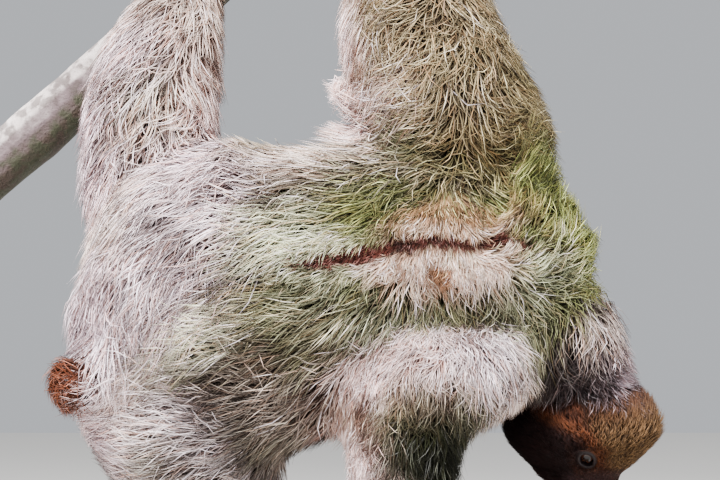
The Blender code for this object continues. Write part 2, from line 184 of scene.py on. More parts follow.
@dataclass
class Lattice:
    """Values on an even grid from its lowest corner on, read anywhere between its points."""

    low: Array
    step: float
    values: Array

    def places(self) -> Array:
        """Lists the place of every value, in the array's own order."""
        axes = [self.low[i] + self.step * np.arange(self.values.shape[i]) for i in range(3)]
        return np.stack(np.meshgrid(*axes, indexing="ij"), axis=-1).reshape(-1, 3)

    def __call__(self, places: Array) -> Array:
        """Reads values between the grid's points.

        Args:
            places: points, one a row.

        Returns:
            One value, or one row of values, for each point.
        """
        spots = (places - self.low) / self.step
        top = np.array(self.values.shape[:3]) - 1.001
        spots = np.clip(spots, 0.0, top)
        low = spots.astype(int)
        t = spots - low
        total = 0.0
        for corner in np.ndindex(2, 2, 2):
            share = np.prod(np.where(corner, t, 1.0 - t), axis=1)
            i, j, k = (low + corner).T
            part = self.values[i, j, k]
            total = total + (share[:, None] if part.ndim == 2 else share) * part
        return total

    def slope(self) -> "Lattice":
        """Gives the direction in which the values rise, as a lattice of vectors."""
        rises = np.gradient(self.values, self.step)
        return Lattice(self.low, self.step, np.stack(rises, axis=-1).astype(np.float32))

    def blurred(self, rounds: int) -> "Lattice":
        """Averages each value with its neighbours.

        Args:
            rounds: how many times to do so.

        Returns:
            A smoother lattice.
        """
        values = self.values
        for _ in range(rounds):
            for axis in range(3):
                grown = np.pad(values, [(1, 1) if i == axis else (0, 0) for i in range(3)], "edge")
                back, on = (np.roll(grown, s, axis) for s in (1, -1))
                trim = tuple(slice(1, -1) if i == axis else slice(None) for i in range(3))
                values = (0.25 * back + 0.5 * grown + 0.25 * on)[trim]
        return Lattice(self.low, self.step, values)


@dataclass
class Form:
    """A bare triangle mesh in millimetres, before it becomes an object."""

    points: Array
    triangles: Array

    @classmethod
    def of_nodes(cls, names: Iterable[str]) -> "Form":
        """Joins the meshes of CAD nodes.

        Args:
            names: the nodes' names.

        Returns:
            Their joined mesh.
        """
        points, triangles, count = [], [], 0
        for name in names:
            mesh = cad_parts[name].data
            points.append(read_rows(mesh.vertices, "co", 3, np.float32) / MM)
            triangles.append(read_triangles(mesh) + count)
            count += len(mesh.vertices)
        return cls(np.concatenate(points), np.concatenate(triangles))

    def distances(self, step: float, outside: float, inside: float) -> "vdb.FloatGrid":
        """Measures distances to the surface, negative inside.

        Args:
            step: the grid's spacing.
            outside: how far out they reach.
            inside: how far in they reach.

        Returns:
            The grid of distances.
        """
        return vdb.FloatGrid.createLevelSetFromPolygons(
            self.points.astype(np.float32),
            triangles=self.triangles.astype(np.uint32),
            transform=vdb.createLinearTransform(step),
            exBandWidth=outside / step,
            inBandWidth=inside / step,
        )

    @classmethod
    def of_level(cls, grid: "vdb.FloatGrid", level: float) -> "Form":
        """Takes the surface on which a grid has one value.

        Args:
            grid: the grid.
            level: the value.

        Returns:
            The surface, facing outwards.
        """
        points, triangles, quads = grid.convertToPolygons(level, 0.0)
        halves = [quads[:, [0, 1, 2]], quads[:, [0, 2, 3]]]
        if len(triangles):
            halves.append(triangles)
        points, faces = points.astype(float), np.concatenate(halves).astype(int)
        a, b, c = (points[faces[:, i]] for i in range(3))
        inside_out = (np.cross(a, b) * c).sum() < 0.0
        return cls(points, faces[:, ::-1] if inside_out else faces)


def lattice_of(grid: "vdb.FloatGrid", step: float, low: Array, high: Array) -> Lattice:
    """Copies part of a grid into a lattice.

    Args:
        grid: the grid.
        step: its spacing.
        low: the lowest corner wanted.
        high: the highest corner wanted.

    Returns:
        The values in that box.
    """
    first = np.floor(low / step).astype(int)
    count = np.ceil(high / step).astype(int) - first + 1
    values = np.zeros(tuple(count), np.float32)
    grid.copyToArray(values, ijk=tuple(first.tolist()))
    return Lattice(first * step, step, values)


def as_grid(lattice: Lattice) -> "vdb.FloatGrid":
    """Turns a lattice, whose corner lies on a whole number of steps, back into a grid.

    Args:
        lattice: the values.

    Returns:
        The grid, which a surface can be taken from.
    """
    grid = vdb.FloatGrid(float(lattice.values.max()))
    first = np.round(lattice.low / lattice.step).astype(int)
    grid.copyFromArray(lattice.values.astype(np.float32), ijk=tuple(first.tolist()))
    grid.transform = vdb.createLinearTransform(lattice.step)
    return grid


def closed_outline(names: Iterable[str], step: float, low: Array, high: Array) -> Lattice:
    """Measures distances to the one surface around several nodes, with the gaps between them shut.

    Args:
        names: the nodes.
        step: the grid's spacing.
        low: the lowest corner wanted.
        high: the highest corner wanted.

    Returns:
        Distances in millimetres, negative inside.
    """
    shut, near, outside, inside = 1.0, 3.0 * step, 8.0 * step, 20.0 * step
    around = Form.of_level(Form.of_nodes(names).distances(step, near, near), shut)
    lattice = lattice_of(around.distances(step, outside, inside), step, low, high)
    return Lattice(lattice.low, step, lattice.values + shut)


# ---- meshes ----


def make_mesh(name: str, points: Array, faces: Array) -> Piece:
    """Makes an object from arrays.

    Args:
        name: the object's name.
        points: vertices in millimetres.
        faces: three or four vertex numbers a row.

    Returns:
        The smooth-shaded object.
    """
    mesh = bpy.data.meshes.new(name)
    mesh.vertices.add(len(points))
    mesh.vertices.foreach_set("co", (points * MM).astype(np.float32).ravel())
    mesh.loops.add(faces.size)
    mesh.loops.foreach_set("vertex_index", faces.astype(np.int32).ravel())
    mesh.polygons.add(len(faces))
    mesh.polygons.foreach_set("loop_start", np.arange(0, faces.size, faces.shape[1], dtype=np.int32))
    mesh.polygons.foreach_set("use_smooth", np.ones(len(faces), dtype=bool))
    mesh.update(calc_edges=True)
    mesh.validate()
    obj = bpy.data.objects.new(name, mesh)
    bpy.context.scene.collection.objects.link(obj)
    return obj


def read_rows(items: bpy.types.bpy_prop_collection, name: str, width: int, kind: type) -> Array:
    """Reads one property of a mesh's items.

    Args:
        items: its vertices, edges, triangles or map spots.
        name: the property.
        width: how many numbers it has.
        kind: the numbers' type.

    Returns:
        One row of numbers for each item.
    """
    flat = np.empty(len(items) * width, kind)
    items.foreach_get(name, flat)
    return flat.reshape(-1, width)


def read_points(mesh: bpy.types.Mesh) -> Array:
    """Reads a mesh's vertices in millimetres."""
    return read_rows(mesh.vertices, "co", 3, np.float32).astype(float) / MM


def read_triangles(mesh: bpy.types.Mesh) -> Array:
    """Reads a mesh's triangles as rows of vertex numbers."""
    mesh.calc_loop_triangles()
    return read_rows(mesh.loop_triangles, "vertices", 3, np.int32)


def write_values(mesh: bpy.types.Mesh, name: str, values: Array) -> None:
    """Stores a number or a colour for each vertex.

    Args:
        mesh: the mesh.
        name: the attribute's name.
        values: one number, or one row of three, for each vertex.
    """
    if values.ndim == 1:
        layer = mesh.attributes.new(name, "FLOAT", "POINT")
        layer.data.foreach_set("value", values.astype(np.float32))
        return
    layer = mesh.attributes.new(name, "FLOAT_COLOR", "POINT")
    full = np.ones((len(values), 4), np.float32)
    full[:, :3] = values
    layer.data.foreach_set("color", full.ravel())


# ---- colours ----


def srgb(red: int, green: int, blue: int) -> Triple:
    """Turns a screen colour into the linear one that a shader takes.

    Args:
        red: its red, from 0 to 255.
        green: its green.
        blue: its blue.

    Returns:
        The linear red, green and blue.
    """

    def linear(level: int) -> float:
        """Straightens one channel's curve."""
        share = level / 255.0
        return share / 12.92 if share <= 0.04045 else ((share + 0.055) / 1.055) ** 2.4

    return linear(red), linear(green), linear(blue)


class Tone(Enum):
    """The coat's colours: at the root, at the tip, and the share of strands that stay dark. The roots are
    darker partly as the underfur's own brown and partly as painted shade deep in the coat.
    """

    LILAC = (50, 26, 23), (248, 223, 236), 0.43
    WHITE = (74, 44, 41), (255, 242, 252), 0.26
    BEIGE = (64, 43, 35), (221, 203, 192), 0.27
    PINK = (128, 88, 80), (248, 224, 224), 0.10
    TAN = (50, 29, 17), (124, 89, 61), 0.27
    STRAW = (38, 27, 18), (158, 143, 109), 0.38
    KHAKI = (30, 22, 11), (126, 113, 74), 0.40
    BROWN = (22, 12, 10), (88, 64, 55), 0.54
    GREY_GREEN = (42, 38, 25), (184, 186, 160), 0.32
    ALGAE = (24, 27, 8), (108, 114, 58), 0.38
    PALE_GREEN = (52, 50, 28), (216, 220, 186), 0.24
    MOSS = (12, 14, 4), (53, 61, 24), 0.44
    # SHADE is painted shade: dark brown coat where shadow falls, above the right arm and on the belly
    SHADE = (8, 5, 4), (37, 29, 22), 0.54
    # painted shade: moss green in the shadow under the right arm, on the forearm's lower part
    DUSK = (5, 6, 2), (22, 26, 9), 0.46
    RUST = (33, 12, 5), (100, 52, 30), 0.38
    NAPE = (7, 3, 6), (48, 37, 39), 0.58
    CREAM = (160, 124, 102), (226, 206, 192), 0.05
    PEACH = (64, 42, 28), (152, 118, 88), 0.20
    STRIPE = (25, 10, 8), (76, 40, 34), 0.0
    SPOT = (72, 40, 23), (143, 95, 59), 0.10
    # the face's dark markings, and painted shade on the cheeks and throat
    MASK = (6, 1, 2), (19, 5, 6), 0.0
    FACE = (17, 7, 5), (59, 30, 18), 0.24
    BROW = (30, 13, 6), (86, 46, 25), 0.16
    GOLD = (25, 15, 9), (110, 83, 55), 0.34
    MUZZLE = (18, 10, 13), (46, 30, 30), 0.0

    def __init__(self, root: Sequence[int], tip: Sequence[int], dark: float) -> None:
        """Turns the two screen colours into linear ones."""
        self.root, self.tip, self.dark = np.array(srgb(*root)), np.array(srgb(*tip)), dark


# ---- the animal's parts ----


class Part(Enum):
    """The regions whose hair doesn't mix with another's, with the CAD nodes of each."""

    BODY = ("trunk", "thigh_left", "thigh_right")
    HEAD = ("head", "neck")
    ARM_LEFT = ("upper_arm_left", "forearm_left", "hand_left")
    ARM_RIGHT = ("upper_arm_right", "forearm_right", "hand_right")
    LEG_LEFT = ("shank_left", "foot_left")
    LEG_RIGHT = ("shank_right", "foot_right")
    TAIL = ("tail",)


FLESH = tuple(name for part in Part for name in part.value)
ABOVE_BASE = (20.0, -30.0, 412.0)  # from the base's underside to the animal's middle
CLAWS = tuple(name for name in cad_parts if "_claw_" in name)


def box_of(name: str) -> tuple[Array, Array]:
    """Reads the lowest and the highest corner of a node's box in millimetres."""
    low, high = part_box(name)
    return np.array(low) / MM, np.array(high) / MM


def middle_of(name: str) -> Array:
    """Gives the middle of a node's box in millimetres."""
    low, high = box_of(name)
    return 0.5 * (low + high)


@dataclass(frozen=True)
class Lie:
    """How the coat lies at one place: its way, length, depth and colour."""

    part: Part
    at: Triple
    flow: Triple
    tone: Tone
    length: float = 44.0
    depth: float = 17.0
    lift: float = -1.0
    wild: float = 0.25


@dataclass
class HeadFrame:
    """The head's own directions, found from its eyes and nose."""

    eye_forward: float = 13.2
    eye_up: float = 8.2
    nose_forward: float = 44.0
    nose_up: float = 6.0
    centre: Array = field(init=False)
    axes: Array = field(init=False)

    def __post_init__(self) -> None:
        """Works out the frame."""
        left, right, nose = (middle_of(n) for n in ("eye_left", "eye_right", "nose"))
        side = unit(right - left)
        ahead = nose - 0.5 * (left + right)
        ahead = unit(ahead - (ahead @ side) * side)
        raised = np.cross(side, ahead)
        rise = self.nose_up - self.eye_up
        run = self.nose_forward - self.eye_forward
        forward = unit(run * ahead - rise * raised)
        up = np.cross(side, forward)
        self.axes = np.stack([forward, up, side])
        self.centre = 0.5 * (left + right) - self.eye_forward * forward - self.eye_up * up

    def local(self, places: Array) -> Array:
        """Turns places into forward, up and right from the head's centre."""
        return (places - self.centre) @ self.axes.T

    def world(self, places: Array) -> Array:
        """Turns forward, up and right back into places."""
        return places @ self.axes + self.centre

    def turned(self, directions: Array) -> Array:
        """Turns directions given as forward, up and right into the world's."""
        return directions @ self.axes


@dataclass
class HeadForm:
    """The head's own shape: sections along its length, with lids, folds and mouth."""

    axes: HeadFrame
    rows: tuple = (  # how far forward, the middle's height, half height, half width
        (-52, 3, 36, 34), (-46, 1, 38, 40), (-26, -4, 52, 49), (-8, -3, 58, 48), (5, -1, 56, 41),
        (14, -1, 50, 34), (24, -2, 41, 26), (33, -4, 31, 21), (41, 0, 22, 17), (47, 4, 15, 13.5),
        (52, 5, 11, 11),
    )
    fur_rows: tuple = ((-52, 17), (-34, 13), (-18, 7), (0, 4.5), (24, 3.4), (36, 2), (42, 0.8))
    snout_end: float = 46.0
    eye_side: float = 21.5
    look: Triple = (0.46, 0.07, 0.885)
    lid_radius: float = 7.4
    lid_long: float = 6.0
    lid_short: float = 4.7
    lid_blend: float = 5.0
    lid_folds: tuple = ((0.55, 1.32, 0.17), (-0.5, 1.72, 0.13), (0.4, 2.05, 0.18), (-0.3, 2.4, 0.15))
    socket_floor: float = 1.0
    brow_line: tuple = ((-16, -16), (-10, 0), (0, 15), (12, 20), (22, 15))
    mouth_up: float = -9.5
    mouth_curl: float = 0.012
    mouth_reach: float = 17.0
    mouth_depth: float = 1.5
    mouth_width: float = 0.95

    def outline(self, local: Array) -> Array:
        """Measures roughly how far places in the head's frame lie outside its coat."""
        return self.section(local, 0.0, self.snout_end + 4.0)

    def section(self, local: Array, inset: Union[float, Array], end: float) -> Array:
        """Measures places against the sections drawn in by some depth.

        Args:
            local: places in the head's frame.
            inset: how far the sections are drawn in.
            end: where the snout is cut off.

        Returns:
            Distances in millimetres, negative inside.
        """
        form = through_rows(self.rows, local[:, 0])
        high = np.maximum(form[:, 1] - inset, 2.0)
        wide = np.maximum(form[:, 2] - inset, 2.0)
        up, side = local[:, 1] - form[:, 0], local[:, 2]
        ring = np.sqrt((up / high) ** 2 + (side / wide) ** 2)
        pull = np.sqrt((up / high**2) ** 2 + (side / wide**2) ** 2)
        around = np.where(ring > 0.05, ring * (ring - 1.0) / np.maximum(pull, 1e-6), -np.minimum(high, wide))
        after, before = (through_rows(self.rows, local[:, 0] + off) for off in (1.0, -1.0))
        slope = (after - before)[:, 1:] / 2.0
        around = around / np.sqrt(1.0 + np.mean(slope, axis=1) ** 2)
        return -soft_least(-around, end - local[:, 0], 4.0)

    def fur(self, local: Array) -> Array:
        """Gives the coat's depth over the head at each place."""
        return through_rows(self.fur_rows, local[:, 0])[:, 0]

    def eye_axes(self, side: float) -> Array:
        """Gives an eye's own directions.

        Args:
            side: 1 for the right eye, -1 for the left.

        Returns:
            Three rows: where it looks, its upward way, and its long way from nose to ear.
        """
        look = unit(np.array([self.look[0], self.look[1], side * self.look[2]]))
        raised = unit(np.array([0.0, 1.0, 0.0]) - look[1] * look)
        return np.stack([look, raised, np.cross(look, raised)])

    def around_eye(self, local: Array, side: float) -> tuple[Array, Array, Array]:
        """Measures places against an eye's opening.

        Args:
            local: places in the head's frame.
            side: 1 for the right eye, -1 for the left.

        Returns:
            The distance from the eye's middle, how far in front of it a place is, and a ring
            number that is 1 at the rim of the lids and grows outwards.
        """
        eye = np.array([self.axes.eye_forward, self.axes.eye_up, side * self.eye_side])
        off = (local - eye) @ self.eye_axes(side).T
        ring = np.sqrt((off[:, 1] / self.lid_short) ** 2 + (off[:, 2] / self.lid_long) ** 2)
        return np.linalg.norm(off, axis=1), off[:, 0], ring

    def skin(self, local: Array) -> Array:
        """Measures places against the bare head with its features.

        Args:
            local: places in the head's frame.

        Returns:
            Distances in millimetres, negative inside.
        """
        skin = self.section(local, self.fur(local), self.snout_end)
        for side in (-1.0, 1.0):
            reach, ahead, ring = self.around_eye(local, side)
            front = step_up(ahead, 0.0, 3.0)
            skin = soft_least(skin, reach - self.lid_radius, self.lid_blend)
            folds = [rise * np.exp(-(((ring - at) / wide) ** 2)) for rise, at, wide in self.lid_folds]
            skin = skin - (folds[0] + folds[1] + (folds[2] + folds[3])) * front
        return skin + self.mouth(local) * self.mouth_depth

    def opened(self, local: Array) -> Array:
        """Pushes the skin inside the lids' rim back behind the eyeball's front.

        Args:
            local: the skin's points in the head's frame.

        Returns:
            The points with both eyes opened.
        """
        for side in (-1.0, 1.0):
            reach, ahead, ring = self.around_eye(local, side)
            near = (reach < 12.0) & (ahead > self.socket_floor)
            share = step_up(ring, 1.05, 0.93) * near
            back = (share * (ahead - self.socket_floor))[:, None] * self.eye_axes(side)[0]
            local = local - back
        return local

    def mouth(self, local: Array) -> Array:
        """Gives how deep in the mouth's crease each place is.

        Args:
            local: places in the head's frame.

        Returns:
            Depths from 0 to 1.
        """
        line = self.mouth_up + self.mouth_curl * local[:, 2] ** 2
        crease = np.exp(-(((local[:, 1] - line) / self.mouth_width) ** 2))
        ends = step_up(np.abs(local[:, 2]), self.mouth_reach, self.mouth_reach - 5.0)
        return crease * ends * step_up(local[:, 0], 12.0, 20.0)

    def bare(self, local: Array) -> Array:
        """Gives how bare of fur the skin is, from 0 to 1.

        Args:
            local: places in the head's frame.

        Returns:
            1 on the lids and round the nose, 0 where fur grows.
        """
        wide = 0.7 * np.abs(local[:, 1] - 3.0) + 0.35 * np.abs(local[:, 2])
        bare = step_up(local[:, 0] - wide, 28.0, 32.0)
        for side in (-1.0, 1.0):
            reach, ahead, ring = self.around_eye(local, side)
            near = step_up(ring, 1.75, 1.45) * (ahead > -1.0) * (reach < 13.0)
            bare = np.maximum(bare, near)
        return bare

    def tones(self, local: Array) -> list[tuple[Tone, Array]]:
        """Gives the face's markings, with painted shade darkening the cheeks and the throat.

        Args:
            local: places in the head's frame.

        Returns:
            Tones to lay one over the other, each with its share at each place.
        """
        ahead, up, side = local.T
        out = np.abs(side)
        gold = step_up(up - 0.12 * ahead, 12.0, 24.0) * (0.15 + 0.85 * step_up(ahead, -16.0, 8.0))
        # the lower face's dark: the real dark markings, and painted shade on the cheeks
        mask = step_up(up + 0.10 * ahead, 5.0, -3.0) * step_up(ahead + 0.2 * up, -28.0, -18.0)
        streak = np.exp(-(((up - 4.0) / 7.0) ** 2)) * step_up(ahead, 30.0, 20.0) * step_up(out, 11.0, 17.0)
        streak *= step_up(ahead, -14.0, -4.0)
        mask = np.maximum(mask * step_up(out, 3.0, 14.0), streak)
        gap, _ = from_curve(local[:, :2], self.brow_line)
        brow = np.exp(-((gap / 4.4) ** 2)) * step_up(out, 6.0, 14.0)
        # the throat's dark: its own brown, deepened as painted shade
        throat = step_up(up, -22.0, -32.0) * step_up(ahead, -30.0, -16.0)
        crown = np.exp(-(((up - 55.0) / 4.0) ** 2 + ((ahead + 12.0) / 9.0) ** 2))
        front = step_up(ahead, 24.0, 33.0) * step_up(up, -14.0, -6.0)
        return [
            (Tone.GOLD, 0.9 * gold),
            (Tone.MASK, 0.95 * np.clip(mask, 0.0, 1.0)),
            (Tone.MASK, 0.75 * throat),
            (Tone.BROW, 0.9 * brow),
            (Tone.MUZZLE, 0.8 * front),
            (Tone.NAPE, 0.8 * crown),
        ]


@dataclass
class Back:
    """The male's bare-looking patch on the back: short pale fur split by a dark line."""

    line: tuple = ((-44, -17), (-19, -13), (4, -8), (28, -1), (52, 3.8), (76, 0.4), (100, -2.7), (113, -9))
    line_width: tuple = (
        (0, 2.4), (0.16, 6.4), (0.30, 8), (0.45, 7), (0.60, 5.6), (0.76, 4.2), (0.92, 3.8), (1, 1.8),
    )
    upper: tuple = ((62.0, 15.0), (40.0, 19.0))
    lower: tuple = ((55.0, -16.0), (52.0, 12.5))
    spot: tuple = ((56.0, -20.0), (7.0, 9.0))
    narrowing: float = 0.020
    ragged: Noise = field(default_factory=lambda: Noise(SEED + 1, 7.0))

    def on_back(self, places: Array) -> Array:
        """Gives 1 on the back's side of the animal and 0 on the belly's."""
        return step_up(places[:, 1], -10.0, -40.0)

    def patch(self, places: Array, oval: tuple) -> Array:
        """Gives the share of an oval patch at each place.

        Args:
            places: points from the animal's middle.
            oval: its middle and its half sizes, in X and Z.

        Returns:
            1 in the middle, falling to 0 at its ragged edge.
        """
        (x, z), (long, high) = oval
        rise = places[:, 2] - z
        wide = long * np.clip(1.1 - self.narrowing * rise * np.sign(z), 0.5, 1.6)
        ring = np.sqrt(((places[:, 0] - x) / wide) ** 2 + (rise / high) ** 2)
        return step_up(ring + 0.25 * self.ragged(places), 1.25, 0.65) * self.on_back(places)

    def stripe(self, places: Array, margin: float = 0.0) -> Array:
        """Gives the share of the dark line at each place, or of a wider band along it.

        Args:
            places: points from the animal's middle.
            margin: how much wider than the line the band is.

        Returns:
            1 on the line, falling to 0 beside it.
        """
        gap, along = from_curve(places[:, [0, 2]], self.line)
        width = through_rows(self.line_width, along)[:, 0] * (1.0 + 0.3 * self.ragged(places * 1.3))
        width = width + margin
        return step_up(gap, width * 1.35, width * 0.65) * self.on_back(places)

    def short(self, places: Array) -> Array:
        """Gives how far the coat is cut short at each place, from 0 to 1."""
        shares = [self.patch(places, self.upper), self.patch(places, self.lower), self.stripe(places)]
        return np.clip(np.max(shares, axis=0), 0.0, 1.0)

    def tones(self, places: Array) -> list[tuple[Tone, Array]]:
        """Gives the patch's markings, to lay one over the other."""
        return [
            (Tone.PEACH, 0.9 * self.patch(places, self.upper)),
            (Tone.CREAM, 0.3 * self.stripe(places, 9.0) * self.patch(places, self.upper)),
            (Tone.CREAM, self.patch(places, self.lower)),
            (Tone.SPOT, 0.9 * self.patch(places, self.spot)),
            (Tone.STRIPE, self.stripe(places)),
        ]


def read_lies(table: str) -> tuple[Lie, ...]:
    """Reads lies from lines of a place, a flow, a tone's name and up to four more of a Lie's values.

    Args:
        table: the lines; one with a part's name alone starts the lies of that part.

    Returns:
        The lies, in the table's order.
    """
    found, part = [], Part.BODY
    for words in (line.split() for line in table.splitlines() if line and line[0] != "#"):
        if len(words) == 1:
            part = Part[words[0]]
            continue
        x, y, z, *flow = map(float, words[:6])
        found.append(Lie(part, (x, y, z), tuple(flow), Tone[words[6]], *map(float, words[7:])))
    return tuple(found)
